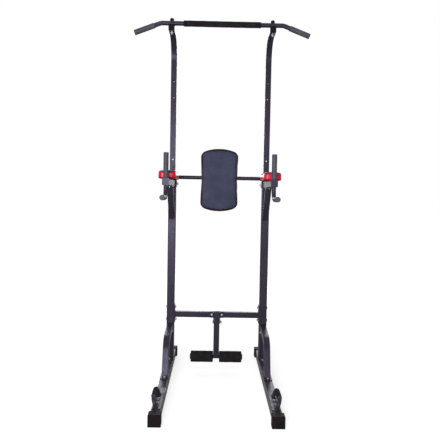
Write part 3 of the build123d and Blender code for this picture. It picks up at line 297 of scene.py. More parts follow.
def plywood(settings):
    """Plywood: long grain with fine pores."""
    shader = Shader("plywood", settings.board, 0.65, specular=0.3)
    grain = shader.noise(60.0, 6.0, 0.6, shader.stretched((1.0, 0.12, 4.0)))
    shader.tint(grain, 0.62, 1.25)
    shader.rough(shader.noise(80.0), 0.55, 0.75)
    shader.bump(grain, 0.25, 0.0005)
    return shader.material


def vinyl(name, base, roughness, grain, specular, coat):
    """Grained vinyl: rounded cells under a soft sheen, with slow wrinkled clouds."""
    shader = Shader(name, base, roughness, specular=specular, coat=coat, sheen=COOL_SHEEN)
    shader.tint(shader.noise(16.0, 4.0), 0.84, 1.20)
    shader.rough(shader.noise(50.0, 3.0), roughness - 0.06, roughness + 0.08)
    shader.bump(shader.noise(28.0, 3.0), 0.10, 0.002)
    shader.bump(shader.cells(grain), 0.35, 0.0004)
    return shader.material


def closed_foam(settings):
    """Closed-cell foam: pores, skin wear and no gloss."""
    shader = Shader("closed_cell_foam", settings.foam, 0.85, specular=0.06)
    shader.tint(shader.noise(30.0, 5.0), 0.70, 1.45)
    shader.rough(shader.noise(70.0, 3.0), 0.74, 0.92)
    shader.bump(shader.cells(900.0), 0.55, 0.0005)
    shader.bump(shader.noise(140.0, 3.0), 0.22, 0.0010)
    return shader.material


def grip_rubber(settings):
    """Smooth grip rubber with faint mould lines."""
    shader = Shader("grip_rubber", settings.rubber, 0.40, specular=0.16)
    shader.tint(shader.noise(24.0, 3.0), 0.86, 1.18)
    shader.rough(shader.noise(60.0, 3.0), 0.36, 0.50)
    shader.bump(shader.noise(700.0, 1.0), 0.15, 0.0003)
    return shader.material


def weld_metal(settings):
    """Coated weld bead."""
    shader = Shader("coated_weld", settings.coat, 0.45, specular=0.17, sheen=COOL_SHEEN)
    shader.tint(shader.noise(120.0, 2.0), 0.75, 1.30)
    shader.rough(shader.noise(200.0), 0.36, 0.56)
    shader.bump(shader.noise(600.0, 2.0), 0.30, 0.0004)
    return shader.material


def label_film(settings):
    """Plain light-grey film."""
    shader = Shader("blank_label_film", settings.label, 0.38, specular=0.45)
    shader.tint(shader.noise(60.0, 3.0), 0.95, 1.05)
    shader.rough(shader.noise(90.0), 0.32, 0.45)
    shader.bump(shader.noise(500.0, 1.0), 0.08, 0.0002)
    return shader.material


# ---- mesh helpers ----
def mesh_object(name, vertices, faces, materials, smooth=True):
    """A new object from arrays, with its faces turned outwards."""
    mesh = bpy.data.meshes.new(name)
    mesh.from_pydata(vertices.tolist(), [], faces)
    for material in materials:
        mesh.materials.append(material)
    work = bmesh.new()
    work.from_mesh(mesh)
    bmesh.ops.recalc_face_normals(work, faces=work.faces)
    work.to_mesh(mesh)
    work.free()
    mesh.polygons.foreach_set("use_smooth", np.full(len(mesh.polygons), smooth))
    mesh.update()
    item = bpy.data.objects.new(name, mesh)
    bpy.context.scene.collection.objects.link(item)
    return item


def grid_faces(rows, columns, wrap_rows):
    """Quads of a grid whose columns close on themselves, and whose rows may."""
    last = rows if wrap_rows else rows - 1
    row, column = np.meshgrid(np.arange(last), np.arange(columns), indexing="ij")
    below = (row + 1) % rows
    beside = (column + 1) % columns
    corners = [row * columns + column, row * columns + beside, below * columns + beside, below * columns + column]
    return np.stack(corners, -1).reshape(-1, 4)


def closed_grid(name, grid, materials):
    """A closed surface from rings: the first and last rings are poles and become one point each."""
    rows, columns = grid.shape[:2]
    inner = grid[1:-1].reshape(-1, 3)
    poles = np.array([grid[0, 0], grid[-1, 0]])
    faces = grid_faces(rows - 2, columns, False).tolist()
    here = np.arange(columns)
    beside = (here + 1) % columns
    first = len(inner)
    faces += np.stack([np.full(columns, first), beside, here], -1).tolist()
    base = (rows - 3) * columns
    faces += np.stack([np.full(columns, first + 1), base + here, base + beside], -1).tolist()
    return mesh_object(name, np.vstack([inner, poles]), faces, materials)


def torus_grid(name, grid, materials):
    """A closed surface from rings that close on themselves both ways."""
    rows, columns = grid.shape[:2]
    return mesh_object(name, grid.reshape(-1, 3), grid_faces(rows, columns, True).tolist(), materials)


def coordinates_of(item):
    """An object's vertices as an array."""
    flat = np.empty(len(item.data.vertices) * 3, np.float32)
    item.data.vertices.foreach_get("co", flat)
    return flat.reshape(-1, 3).astype(float)


def put_coordinates(item, points):
    """Write an array back to an object's vertices."""
    item.data.vertices.foreach_set("co", points.astype(np.float32).ravel())
    item.data.update()


def finished_mesh(item):
    """Apply every modifier of an object to its mesh."""
    graph = bpy.context.evaluated_depsgraph_get()
    mesh = bpy.data.meshes.new_from_object(item.evaluated_get(graph), depsgraph=graph)
    item.modifiers.clear()
    item.data = mesh
    return item


# ---- sleeves ----
def axis_frame(start, end):
    """The length of an axis, its direction and two directions square to it."""
    run = np.subtract(end, start)
    reach = np.linalg.norm(run)
    along = run / reach
    helper = np.array([0, 0, 1.0]) if abs(along[2]) < 0.8 else np.array([0, 1.0, 0])
    across = np.cross(along, helper)
    across /= np.linalg.norm(across)
    return reach, along, across, np.cross(along, across)


def rim_arc(centre_t, centre_r, radius, from_angle, to_angle, steps=7):
    """Points of a rounded rim: centre plus radius times (cos, sin) of each angle."""
    angles = np.radians(np.linspace(from_angle, to_angle, steps))
    return np.stack([centre_t + radius * np.cos(angles), centre_r + radius * np.sin(angles)], -1)


def revolve(start, end, profile, uneven=0.0, columns=64):
    """Turn a profile of (t, r) about the axis: start + t*axis + r*(across*cos a + up*sin a).
    The outer radius wanders by uneven * sin(2a + 31t) * sin(47t + 3a)."""
    _, along, across, up = axis_frame(start, end)
    angle = np.linspace(0, FULL_TURN, columns, endpoint=False)[None, :]
    t, r = profile[:, :1], profile[:, 1:]
    wander = uneven * np.sin(2 * angle + 31 * t) * np.sin(47 * t + 3 * angle)
    ring = np.where(r > 0.9 * profile[:, 1].max(), r + wander, r + 0 * angle)
    spokes = np.cos(angle)[..., None] * across + np.sin(angle)[..., None] * up
    return np.asarray(start) + t[..., None] * along + ring[..., None] * spokes


def foam_sleeve(name, start, end, outer, bore, settings, material):
    """An open sleeve: outer wall, rounded rims and bore, as one closed loop carried round the axis."""
    reach = axis_frame(start, end)[0]
    rim = settings.foam_rim
    outer -= settings.unevenness
    run = np.linspace(rim, reach - rim, max(12, int(reach / (4 * MM))))
    wall = np.stack([run, np.full(len(run), outer)], -1)
    profile = np.vstack([
        wall,
        rim_arc(reach - rim, outer - rim, rim, 80, 0),
        [[reach, bore + MM], [reach - MM, bore], [reach / 2, bore], [MM, bore], [0, bore + MM]],
        rim_arc(rim, outer - rim, rim, 180, 100),
    ])
    item = torus_grid(name, revolve(start, end, profile, settings.unevenness), [material])
    return item


def closed_grip(name, start, end, outer, bore, settings, material):
    """A grip closed at its far end: a pole at the tip, the wall, a low collar at the mouth and the bore back to a pole."""
    reach = axis_frame(start, end)[0]
    rim = settings.grip_rim
    run = np.linspace(reach - rim, 6 * MM, 24)
    wall = np.stack([run, np.full(len(run), outer - 0.25 * MM)], -1)
    depth = reach - GRIP_CAP
    profile = np.vstack([
        [[reach, 0], [reach, outer * 0.5]],
        rim_arc(reach - rim, outer - 0.25 * MM - rim, rim, 0, 80),
        wall,
        [[5 * MM, outer], [MM, outer], [0, outer - MM], [0, bore + MM / 2], [MM / 2, bore], [depth, bore], [depth, 0]],
    ])
    return closed_grid(name, revolve(start, end, profile), [material])


# ---- cushions ----
def rounded_outline(half_width, half_height, radius, inset=0.0, rise=0.0, edge=60):
    """Points round a rounded rectangle drawn in by inset: a corner's centre, or a step between two of
    them, plus (radius - inset) times the unit normal. Both ends then arch by rise."""
    run = np.linspace(0, 1, edge)[1:-1]
    parts = []
    for quarter in range(4):
        turn = np.radians(90 * quarter + np.linspace(0, 90, 14))
        here, there = (np.radians(90 * corner + 45) for corner in (quarter, quarter + 1))
        corner = np.sign([math.cos(here), math.sin(here)])
        following = np.sign([math.cos(there), math.sin(there)])
        normal = np.stack([np.cos(turn), np.sin(turn)], -1)
        parts.append(np.hstack([np.tile(corner, (len(turn), 1)), normal]))
        step = corner + run[:, None] * (following - corner)
        parts.append(np.hstack([step, np.tile(normal[-1], (len(run), 1))]))
    sign_x, sign_z, normal_x, normal_z = np.vstack(parts).T
    x = sign_x * (half_width - radius) + (radius - inset) * normal_x
    z = sign_z * (half_height - radius) + (radius - inset) * normal_z
    return x, z * arch(x, half_width, half_height, rise)


def arch(x, half_width, half_height, rise):
    """How much of the height is left at x: 1 - (rise / b)(x / a)^2."""
    return 1 - rise / half_height * np.clip(x / half_width, -1.1, 1.1) ** 2


def inside(x, z, half_width, half_height, rise, radius):
    """How far a point lies inside the outline (below 0 outside), and which way is out."""
    over_x = np.abs(x) - (half_width - radius)
    over_z = np.abs(z / arch(x, half_width, half_height, rise)) - (half_height - radius)
    out_x, out_z = np.maximum(over_x, 0), np.maximum(over_z, 0)
    reach = np.hypot(out_x, out_z)
    depth = radius - reach - np.minimum(np.maximum(over_x, over_z), 0)
    reach = np.maximum(reach, 1e-9)
    return depth, np.sign(x) * out_x / reach, np.sign(z) * out_z / reach


class Cushion:
    """A stuffed pad on a board. Local axes: x across, z along, h out of the board."""

    def __init__(self, name, half_width, half_height, rise, radius, thickness, place):
        self.name = name
        self.form = (half_width, half_height, rise, radius)
        self.thickness = thickness
        self.place = place
        self.item = None

    def to_row(self, x, z, h):
        """Local x, z, h to the row frame."""
        origin, across, along, out = self.place
        return origin + x[..., None] * across + z[..., None] * along + h[..., None] * out

    def to_local(self, points):
        """The row frame back to local x, z, h."""
        origin, across, along, out = self.place
        moved = points - origin
        return moved @ across, moved @ along, moved @ out

    def ring(self, inset):
        """The outline drawn in by inset."""
        half_width, half_height, rise, radius = self.form
        return np.stack(rounded_outline(half_width, half_height, radius, inset, rise), -1)

    def cover(self, shrink, crown, edge, materials):
        """The cut cover: rings of the outline over the crowned face, round the edge, down the wall and
        over the flat back. Each ring is the outline drawn in by an inset, times a share, at a height."""
        top = self.thickness - shrink
        turn = np.radians(np.linspace(0, 90, 7))[1:]
        share = np.linspace(0, 1, 14)
        rings = [(shrink + edge, part, top - crown * part**3) for part in share]
        rings += [
            (shrink + edge * (1 - math.sin(angle)), 1.0, top - crown - edge * (1 - math.cos(angle)))
            for angle in turn
        ]
        rings += [(shrink, 1.0, height) for height in np.linspace(top - crown - edge, 3 * MM, 8)[1:]]
        rings += [(shrink + 2 * MM, part, 0.0) for part in share[::-1]]
        grid = []
        for inset, part, height in rings:
            flat = self.ring(inset) * part
            grid.append(self.to_row(flat[:, 0], flat[:, 1], np.full(len(flat), height)))
        self.item = closed_grid(self.name, np.array(grid), materials)

    def stuff(self, settings):
        """Remesh the cover evenly, let pressure swell it, cap how far each point moves, and refine once.
        The sewn wall gives less than the face, so only a share of the sideways movement is kept."""
        item = self.item
        remesh = item.modifiers.new("even_mesh", "REMESH")
        remesh.mode = "VOXEL"
        remesh.voxel_size = settings.voxel
        finished_mesh(item)
        rest = coordinates_of(item)
        swelled = blown_up(item, settings)
        step = swelled - rest
        out = self.place[3]
        outward = (step @ out)[:, None] * out
        step = outward + settings.give * (step - outward)
        reach = np.linalg.norm(step, axis=1, keepdims=True)
        rest += step * np.minimum(1, settings.swell / np.maximum(reach, 1e-9))
        put_coordinates(item, rest)
        refine = item.modifiers.new("refine", "SUBSURF")
        refine.levels = 1
        refine.render_levels = 1
        finished_mesh(item)
        self.hold()

    def hold(self):
        """Keep the pad on its board and inside its outline and thickness."""
        x, z, h = self.to_local(coordinates_of(self.item))
        depth, out_x, out_z = inside(x, z, *self.form)
        back = np.minimum(depth, 0)
        h = np.clip(h, 0.3 * MM, self.thickness)
        put_coordinates(self.item, self.to_row(x + back * out_x, z + back * out_z, h))

    def seam_line(self, x, z, side, ends):
        """How far a point lies within the seam: drawn in by side, and by ends more towards both ends."""
        return inside(x, z, *self.form)[0] - side - ends * np.abs(z / self.form[1]) ** 6

    def pull_seam(self, side, ends, depth, width=3 * MM):
        """Pull the cover in along the seam on the face: depth * exp(-(distance / width)^2)."""
        x, z, h = self.to_local(coordinates_of(self.item))
        pull = depth * np.exp(-((self.seam_line(x, z, side, ends) / width) ** 2))
        h = np.where(h > self.thickness / 2, h - pull, h)
        put_coordinates(self.item, self.to_row(x, z, h))

    def colour_faces(self, side, ends, wall):
        """Give faces their cover: panel inside the seam, a near-black border round it that darkens the face's rounded
        edge, gusset on the wall.
        """
        mesh = self.item.data
        centres = np.empty(len(mesh.polygons) * 3, np.float32)
        mesh.polygons.foreach_get("center", centres)
        x, z, h = self.to_local(centres.reshape(-1, 3).astype(float))
        index = np.where(h > self.thickness - wall, 1, 2)
        index[(h > self.thickness / 2) & (self.seam_line(x, z, side, ends) > 0)] = 0
        index[h < 1.2 * MM] = 1
        mesh.polygons.foreach_set("material_index", index.astype(np.int32))
        mesh.polygons.foreach_set("use_smooth", np.full(len(index), True))
        mesh.update()

    def piping(self, name, inset, ends, height, settings, material):
        """A round bead laid on the cover along the outline drawn in by inset, near height."""
        flat = self.ring(inset)
        flat[:, 1] *= 1 - ends * np.abs(flat[:, 1] / self.form[1]) ** 6 / self.form[1]
        path = self.to_row(flat[:, 0], flat[:, 1], np.full(len(flat), height))
        path = lay_on(path, coordinates_of(self.item))
        return bead(name, path, self.place[3], settings.piping, material)


def blown_up(item, settings):
    """The vertices of a closed cover after twenty frames of cloth under pressure, with no gravity."""
    cloth = item.modifiers.new("stuffing", "CLOTH")
    cloth.settings.quality = 5
    cloth.settings.mass = 0.3
    cloth.settings.tension_stiffness = 20
    cloth.settings.compression_stiffness = 20
    cloth.settings.bending_stiffness = 2
    cloth.settings.use_pressure = True
    cloth.settings.uniform_pressure_force = settings.pressure
    cloth.settings.effector_weights.gravity = 0
    cloth.point_cache.frame_start = 1
    cloth.point_cache.frame_end = 20
    scene = bpy.context.scene
    for step in range(1, 21):
        scene.frame_set(step)
    graph = bpy.context.evaluated_depsgraph_get()
    mesh = item.evaluated_get(graph).data
    flat = np.empty(len(mesh.vertices) * 3, np.float32)
    mesh.vertices.foreach_get("co", flat)
    item.modifiers.clear()
    scene.frame_set(1)
    return flat.reshape(-1, 3).astype(float)


def lay_on(path, surface):
    """Move each path point to the nearest surface point, then average it with its neighbours four times."""
    low, high = path.min(0) - 12 * MM, path.max(0) + 12 * MM
    near = surface[np.all((surface > low) & (surface < high), axis=1)]
    close = np.array([near[np.argmin(((near - chunk) ** 2).sum(1))] for chunk in path])
    for _ in range(4):
        close = (np.roll(close, 1, 0) + 2 * close + np.roll(close, -1, 0)) / 4
    return close


def bead(name, path, axis, radius, material, ripple=0.0, ripples=0, columns=10):
    """A closed tube along a closed path: path + r*(axis*cos a + side*sin a), with r = radius*(1 + ripple*sin(k s))."""
    tangent = np.roll(path, -1, 0) - np.roll(path, 1, 0)
    tangent /= np.linalg.norm(tangent, axis=1, keepdims=True)
    side = np.cross(tangent, axis)
    side /= np.linalg.norm(side, axis=1, keepdims=True)
    lift = np.cross(side, tangent)
    angle = np.linspace(0, FULL_TURN, columns, endpoint=False)
    around = np.linspace(0, FULL_TURN, len(path), endpoint=False)
    size = radius * (1 + ripple * np.sin(ripples * around))
    ring = np.cos(angle)[None, :, None] * lift[:, None] + np.sin(angle)[None, :, None] * side[:, None]
    return torus_grid(name, path[:, None] + size[:, None, None] * ring, [material])


AXES = {"x": np.array([1.0, 0, 0]), "y": np.array([0, 1.0, 0]), "z": np.array([0, 0, 1.0])}


def backrest_cushion():
    """The backrest's place and size, from its cushion and board."""
    low, high = node_box("backrest_pad", "backrest_board")
    middle = (low + high) / 2
    origin = np.array([middle[0], high[1], middle[2]])
    place = (origin, AXES["x"], AXES["z"], -AXES["y"])
    half = (high - low) / 2
    return Cushion("backrest_cushion", half[0], half[2], 29 * MM, 30 * MM, high[1] - low[1], place)


def arm_cushion(side):
    """An arm pad's place and size, from its cushion and board."""
    low, high = node_box(side + "_arm_pad")
    board_low = node_box("pad_boards")[0][2]
    middle = (low + high) / 2
    origin = np.array([middle[0], middle[1], board_low])
    place = (origin, AXES["x"], AXES["y"], AXES["z"])
    half = (high - low) / 2
    return Cushion(side + "_arm_cushion", half[0], half[1], 0.0, 26 * MM, high[2] - board_low, place)


# ---- operators ----
class Step(bpy.types.Operator):
    """Shared behaviour of the tower's steps."""

    bl_options = {"REGISTER", "UNDO"}

    def execute(self, context):
        self.make(context.scene)
        return {"FINISHED"}


CAD_FINISHES = {
    "coat": """arm_end_plugs left_arm right_arm left_arm_strut right_arm_strut left_base_rail right_base_rail left_brace right_brace
        left_handle_tube right_handle_tube left_lower_post right_lower_post left_main_upright right_main_upright
        left_push_up_handle right_push_up_handle left_upper_upright right_upper_upright backrest_bracket backrest_tube
        cross_member leg_bracket leg_post lock_housings pull_up_bar roller_axle spigots""",
    "zinc": """arm_bolts backrest_bolts bar_fasteners cross_bolts frame_bolts leg_bracket_bolts leg_pivot_pin
        lock_springs pad_bolts pivot_clip upright_screws""",
    "plastic": """bar_bolt_caps feet guide_sleeves left_lock_pin right_lock_pin left_roller_core
        right_roller_core leg_plugs upper_plugs""",
    "board": "pad_boards backrest_board",
}


class TOWER_OT_finishes(Step):
    """Give every hard CAD piece its finish"""

    bl_idname = "power_tower.finishes"
    bl_label = "Finish Hard Pieces"

    def make(self, scene):
        settings = scene.tower_finishes
        materials = {
            "coat": powder_coat(settings),
            "zinc": plated_zinc(settings),
            "plastic": moulded_plastic(settings),
            "board": plywood(settings),
        }
        for finish, names in CAD_FINISHES.items():
            for name in names.split():
                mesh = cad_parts[name].data
                mesh.materials.clear()
                mesh.materials.append(materials[finish])


class TOWER_OT_backrest(Step):
    """Stuff and sew the backrest"""

    bl_idname = "power_tower.backrest"
    bl_label = "Backrest"

    def make(self, scene):
        settings = scene.tower_cushions
        covers = cushion_covers(settings)
        pad = backrest_cushion()
        pad.cover(settings.shrink, 5 * MM, 12 * MM, covers)
        pad.stuff(settings)
        # A near-black band round the face, wider at both ends, darkens its rounded edge.
        side, ends = settings.border_side, settings.border_ends
        pad.pull_seam(side, ends, settings.seam_depth)
        pad.colour_faces(side, ends, 0.5 * pad.thickness)
        # The seam piping takes the lighter panel vinyl instead of the near-black of the band beside it, so it shows as
        # a light line: a painted highlight on a real bead.
        seam = pad.piping("backrest_piping_painted_highlight", side, ends, pad.thickness - 3 * MM, settings, covers[0])
        edge = pad.piping("backrest_edge_piping", 0.0, 0.0, 0.5 * pad.thickness, settings, covers[2])
        for piece in (pad.item, seam, edge):
            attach(piece, "base_frame")
        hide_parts("backrest_pad", "backrest_board")


class TOWER_OT_arm_pads(Step):
    """Stuff and sew the two arm pads"""

    bl_idname = "power_tower.arm_pads"
    bl_label = "Arm Pads"

    def make(self, scene):
        settings = scene.tower_cushions
        covers = cushion_covers(settings)
        for side in ("left", "right"):
            pad = arm_cushion(side)
            pad.cover(settings.shrink, 3 * MM, 9 * MM, covers)
            pad.stuff(settings)
            seam = settings.arm_seam
            pad.pull_seam(seam, 0.0, settings.seam_depth)
            pad.colour_faces(seam, 0.0, 0.0)
            # Near-black beads along the top seam and near the base, with the darker panel vinyl on top, darken the
            # pads' top and bottom rims.
            pipes = [
                pad.piping(side + "_arm_piping_top", seam, 0.0, pad.thickness - 2 * MM, settings, covers[1]),
                pad.piping(side + "_arm_piping_base", 0.0, 0.0, 4 * MM, settings, covers[1]),
            ]
            for piece in (pad.item, *pipes):
                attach(piece, "base_frame")
            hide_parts(side + "_arm_pad", "pad_boards")


def cushion_covers(settings):
    """The three vinyls, shared by every cushion."""
    names = ("grained_vinyl_panel", "near_black_cover", "red_vinyl_gusset")
    if names[0] in bpy.data.materials:
        return [bpy.data.materials[name] for name in names]
    return [
        vinyl(names[0], settings.panel, 0.42, 420.0, 0.06, 0.0),
        vinyl(names[1], settings.border, 0.44, 520.0, 0.03, 0.0),
        vinyl(names[2], settings.gusset, 0.26, 520.0, 0.12, 0.10),
    ]


class TOWER_OT_foam(Step):
    """Make the foam of the rollers, the bar and the push-up handles"""

    bl_idname = "power_tower.foam"
    bl_label = "Foam Sleeves"

    def make(self, scene):
        settings = scene.tower_sleeves
        material = closed_foam(settings)
        for side in ("left", "right"):
            self.roller(side, settings, material)
            self.push_up(side, settings, material)
        low, high = node_box("bar_centre_grip")
        middle = (low + high) / 2
        radius = (high[1] - low[1]) / 2
        ends = np.array([[low[0], middle[1], middle[2]], [high[0], middle[1], middle[2]]])
        piece = foam_sleeve("bar_foam", ends[0], ends[1], radius, bar_radius() + 0.1 * MM, settings, material)
        self.settle(piece, "upper_frame", "bar_centre_grip")

    def settle(self, piece, body, node):
        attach(piece, body)
        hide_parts(node)

    def roller(self, side, settings, material):
        node = side + "_roller_foam"
        low, high = node_box(node)
        core_low, core_high = node_box(side + "_roller_core")
        middle = (low + high) / 2
        ends = np.array([[low[0], middle[1], middle[2]], [high[0], middle[1], middle[2]]])
        radius = (high[2] - low[2]) / 2
        bore = (core_high[2] - core_low[2]) / 2 + 0.1 * MM
        piece = foam_sleeve(side + "_roller_sleeve", ends[0], ends[1], radius, bore, settings, material)
        self.settle(piece, side + "_roller", node)

    def push_up(self, side, settings, material):
        low, high = node_box("push_up_grips")
        radius = (high[2] - low[2]) / 2
        x = high[0] - radius if side == "right" else low[0] + radius
        z = (low[2] + high[2]) / 2
        plate_low, plate_high = node_box(side + "_push_up_handle")
        bore = plate_high[2] - z + 0.1 * MM
        start, end = np.array([x, low[1], z]), np.array([x, high[1], z])
        piece = foam_sleeve(side + "_push_up_foam", start, end, radius, bore, settings, material)
        self.settle(piece, "base_frame", "push_up_grips")


def bar_radius():
    """The pull-up bar's radius."""
    low, high = node_box("pull_up_bar")
    return (high[1] - low[1]) / 2


class TOWER_OT_grips(Step):
    """Make the rubber grips of the handles and the bar's ends"""

    bl_idname = "power_tower.grips"
    bl_label = "Rubber Grips"

    def make(self, scene):
        settings = scene.tower_sleeves
        material = grip_rubber(settings)
        tube_low, tube_high = node_box("right_handle_tube")
        bore = (tube_high[0] - tube_low[0]) / 2 + 0.1 * MM
        for side, sign in (("left", -1), ("right", 1)):
            low, high = node_box("upright_grips")
            radius = (high[1] - low[1]) / 2
            x = sign * (high[0] - radius)
            y = (low[1] + high[1]) / 2
            ends = np.array([[x, y, low[2] + 0.2 * MM], [x, y, high[2]]])
            piece = closed_grip(side + "_upright_grip", ends[0], ends[1], radius, bore, settings, material)
            self.settle(piece, "base_frame", "upright_grips")
            low, high = node_box("dip_grips")
            z = (low[2] + high[2]) / 2
            ends = np.array([[x, high[1], z], [x, low[1], z]])
            piece = closed_grip(side + "_dip_grip", ends[0], ends[1], radius, bore, settings, material)
            self.settle(piece, "base_frame", "dip_grips")
            ends = bar_grip_ends(sign)
            low, high = node_box("bar_end_grips")
            radius = (high[1] - low[1]) / 2
            inside = bar_radius() + 0.1 * MM
            piece = closed_grip(side + "_bar_grip", ends[0], ends[1], radius, inside, settings, material)
            self.settle(piece, "upper_frame", "bar_end_grips")

    def settle(self, piece, body, node):
        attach(piece, body)
        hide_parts(node)


def bar_grip_ends(sign):
    """The two ends of a bar grip's axis, on the bar's sloping end."""
    low, high = node_box("pull_up_bar")
    radius = bar_radius()
    tip = np.array([sign * (high[0] - radius * math.sin(BAR_DROP)), (low[1] + high[1]) / 2, 0])
    tip[2] = low[2] + radius * math.cos(BAR_DROP)
    outward = np.array([sign * math.cos(BAR_DROP), 0, -math.sin(BAR_DROP)])
    grip_low, grip_high = node_box("bar_end_grips")
    grip_radius = (grip_high[1] - grip_low[1]) / 2
    drop = grip_high[2] - grip_low[2] - 2 * grip_radius * math.cos(BAR_DROP)
    reach = drop / math.sin(BAR_DROP)
    end = tip + outward * GRIP_CAP
    return end - outward * reach, end


class TOWER_OT_welds(Step):
    """Lay weld beads where tubes meet their plates"""

    bl_idname = "power_tower.welds"
    bl_label = "Weld Beads"

    def make(self, scene):
        settings = scene.tower_details
        material = weld_metal(scene.tower_finishes)
        for side, sign in (("left", -1), ("right", 1)):
            self.post(side, settings, material)
            self.cross(side, sign, settings, material)
            self.arm(side, settings, material)
            self.push_up(side, settings, material)

    def loop(self, name, centre, across, along, half, radius, settings, material):
        """A rippled bead round a tube's section: a square of this half width with rounded corners."""
        x, z = rounded_outline(half, half, radius, edge=2 if radius >= half else 24)
        path = centre + x[:, None] * across + z[:, None] * along
        ripples = round(8 * half / (4 * MM))
        axis = np.cross(across, along)
        piece = bead(name, path, axis, settings.weld, material, settings.ripple, ripples, 8)
        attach(piece, "base_frame")

    def post(self, side, settings, material):
        low, high = node_box(side + "_lower_post")
        top = node_box(side + "_base_rail")[1][2] + 5 * MM
        half = (high[0] - low[0]) / 2
        centre = np.array([(low[0] + high[0]) / 2, (low[1] + high[1]) / 2, top])
        self.loop(side + "_post_weld", centre, AXES["x"], AXES["y"], half, 4 * MM, settings, material)

    def cross(self, side, sign, settings, material):
        low, high = node_box("cross_member")
        bracket_top = node_box("leg_bracket")[1][2]
        half = 19 * MM
        centre = np.array([sign * (high[0] - 5 * MM), (low[1] + high[1]) / 2, bracket_top - 4 * MM - half])
        self.loop(side + "_cross_weld", centre, AXES["y"], AXES["z"], half, 4 * MM, settings, material)

    def arm(self, side, settings, material):
        low, high = node_box(side + "_arm")
        upright_low = node_box(side + "_main_upright")[0]
        half = 20 * MM
        y = upright_low[1] - 4 * MM
        centre = np.array([(low[0] + high[0]) / 2, y, (low[2] + high[2]) / 2])
        self.loop(side + "_arm_weld", centre, AXES["x"], AXES["z"], half, 4 * MM, settings, material)

    def push_up(self, side, settings, material):
        low, high = node_box(side + "_push_up_handle")
        sign = -1 if side == "left" else 1
        plate_top = low[2] + 5 * MM
        x = sign * 311 * MM
        radius = 11.2 * MM
        for end, y in (("front", low[1] + 17 * MM), ("back", high[1] - 17 * MM)):
            centre = np.array([x, y, plate_top])
            name = f"{side}_push_up_weld_{end}"
            self.loop(name, centre, AXES["x"], AXES["y"], radius, radius, settings, material)


class TOWER_OT_label(Step):
    """Stick the blank label on the left rail"""

    bl_idname = "power_tower.label"
    bl_label = "Blank Label"

    def make(self, scene):
        settings = scene.tower_details
        low, high = node_box("left_base_rail")
        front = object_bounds()[0][1]
        centre_x = (low[0] + high[0]) / 2 + 13 * MM
        centre_y = front + LABEL_BEHIND_FRONT + LABEL_LENGTH / 2
        x, y = rounded_outline(LABEL_WIDTH / 2, LABEL_LENGTH / 2, 2 * MM, edge=12)
        thickness = settings.label_thickness
        scale = np.array([0, 0.6, 0.985, 1.0, 1.0, 0.985, 0])
        height = np.array([1, 1, 1, 0.7, 0.2, 0, 0]) * thickness + 0.05 * MM
        grid = np.stack([
            centre_x + scale[:, None] * x,
            centre_y + scale[:, None] * y,
            high[2] + height[:, None] + 0 * x[None, :],
        ], -1)
        piece = closed_grid("blank_label", grid, [label_film(settings)])
        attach(piece, "base_frame")


class TOWER_OT_stage(Step):
    """Set up the floor, lamps, surroundings and camera"""

    bl_idname = "power_tower.stage"
    bl_label = "Studio"

    def make(self, scene):
        settings = scene.tower_stage
        self.floor(settings)
        self.sky(scene, settings)
        self.lamp("front_softbox", (-0.9, -4.4, 1.3), (0, 0.3, 1.15), (2.2, 1.5), settings.front, 180)
        self.lamp("left_strip", (-3.2, -1.8, 1.8), (0, 0.2, 1.2), (0.8, 2.4), settings.side, 120)
        self.lamp("right_strip", (3.2, -1.8, 1.8), (0, 0.2, 1.2), (0.8, 2.4), settings.side, 120)
        self.lamp("back_softbox", (0.0, 4.8, 2.6), (0, 0.2, 1.0), (3.0, 2.4), settings.back, 120)
        self.lamp("top_lamp", (0.0, -0.4, 4.6), (0, 0.0, 0.0), (3.0, 3.0), settings.top, 120)
        self.camera(scene)
        scene.view_settings.view_transform = "Standard"

    def floor(self, settings):
        half = 30.0
        points = np.array([[-half, -half, 0], [half, -half, 0], [half, half, 0], [-half, half, 0]])
        item = mesh_object("floor", points, [[0, 1, 2, 3]], [floor_material(settings)], smooth=False)
        if item.data.polygons[0].normal.z < 0:
            item.data.flip_normals()
        item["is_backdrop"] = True

    def sky(self, scene, settings):
        world = bpy.data.worlds.new("studio")
        scene.world = world
        world.use_nodes = True
        tree = world.node_tree
        background = tree.nodes["Background"]
        background.inputs["Color"].default_value = (1, 1, 1, 1)
        strength = tree.nodes.new("ShaderNodeMapRange")
        tree.links.new(seen_directly(tree), strength.inputs["Value"])
        strength.inputs["To Min"].default_value = settings.sky
        strength.inputs["To Max"].default_value = 1.0
        tree.links.new(strength.outputs["Result"], background.inputs["Strength"])

    def lamp(self, name, place, target, size, power, spread):
        data = bpy.data.lights.new(name, "AREA")
        data.spread = math.radians(spread)
        data.shape = "RECTANGLE"
        data.size, data.size_y = size
        data.energy = power
        item = bpy.data.objects.new(name, data)
        bpy.context.scene.collection.objects.link(item)
        back = np.subtract(place, target)
        back /= np.linalg.norm(back)
        helper = AXES["z"] if abs(back[2]) < 0.9 else AXES["y"]
        right = np.cross(helper, back)
        right /= np.linalg.norm(right)
        item.matrix_world = placed(right, np.cross(back, right), back, place)
        item.visible_camera = False

    def camera(self, scene):
        data = bpy.data.cameras.new("camera")
        data.sensor_width = CAMERA_SENSOR
        data.lens = CAMERA_LENS
        item = bpy.data.objects.new("camera", data)
        scene.collection.objects.link(item)
        yaw, pitch, roll = CAMERA_YAW, CAMERA_PITCH, CAMERA_ROLL
        right = np.array([math.cos(yaw), -math.sin(yaw), 0])
        ahead = np.array([math.sin(yaw) * math.cos(pitch), math.cos(yaw) * math.cos(pitch), -math.sin(pitch)])
        up = np.array([math.sin(yaw) * math.sin(pitch), math.cos(yaw) * math.sin(pitch), math.cos(pitch)])
        rolled_right = math.cos(roll) * right + math.sin(roll) * up
        rolled_up = -math.sin(roll) * right + math.cos(roll) * up
        item.matrix_world = placed(rolled_right, rolled_up, -ahead, CAMERA_PLACE)
        scene.camera = item


def placed(right, up, back, place):
    """A matrix from three axes and a place."""
    matrix = Matrix.Identity(4)
    for column, axis in enumerate((right, up, back, place)):
        for row in range(3):
            matrix[row][column] = axis[row]
    return matrix


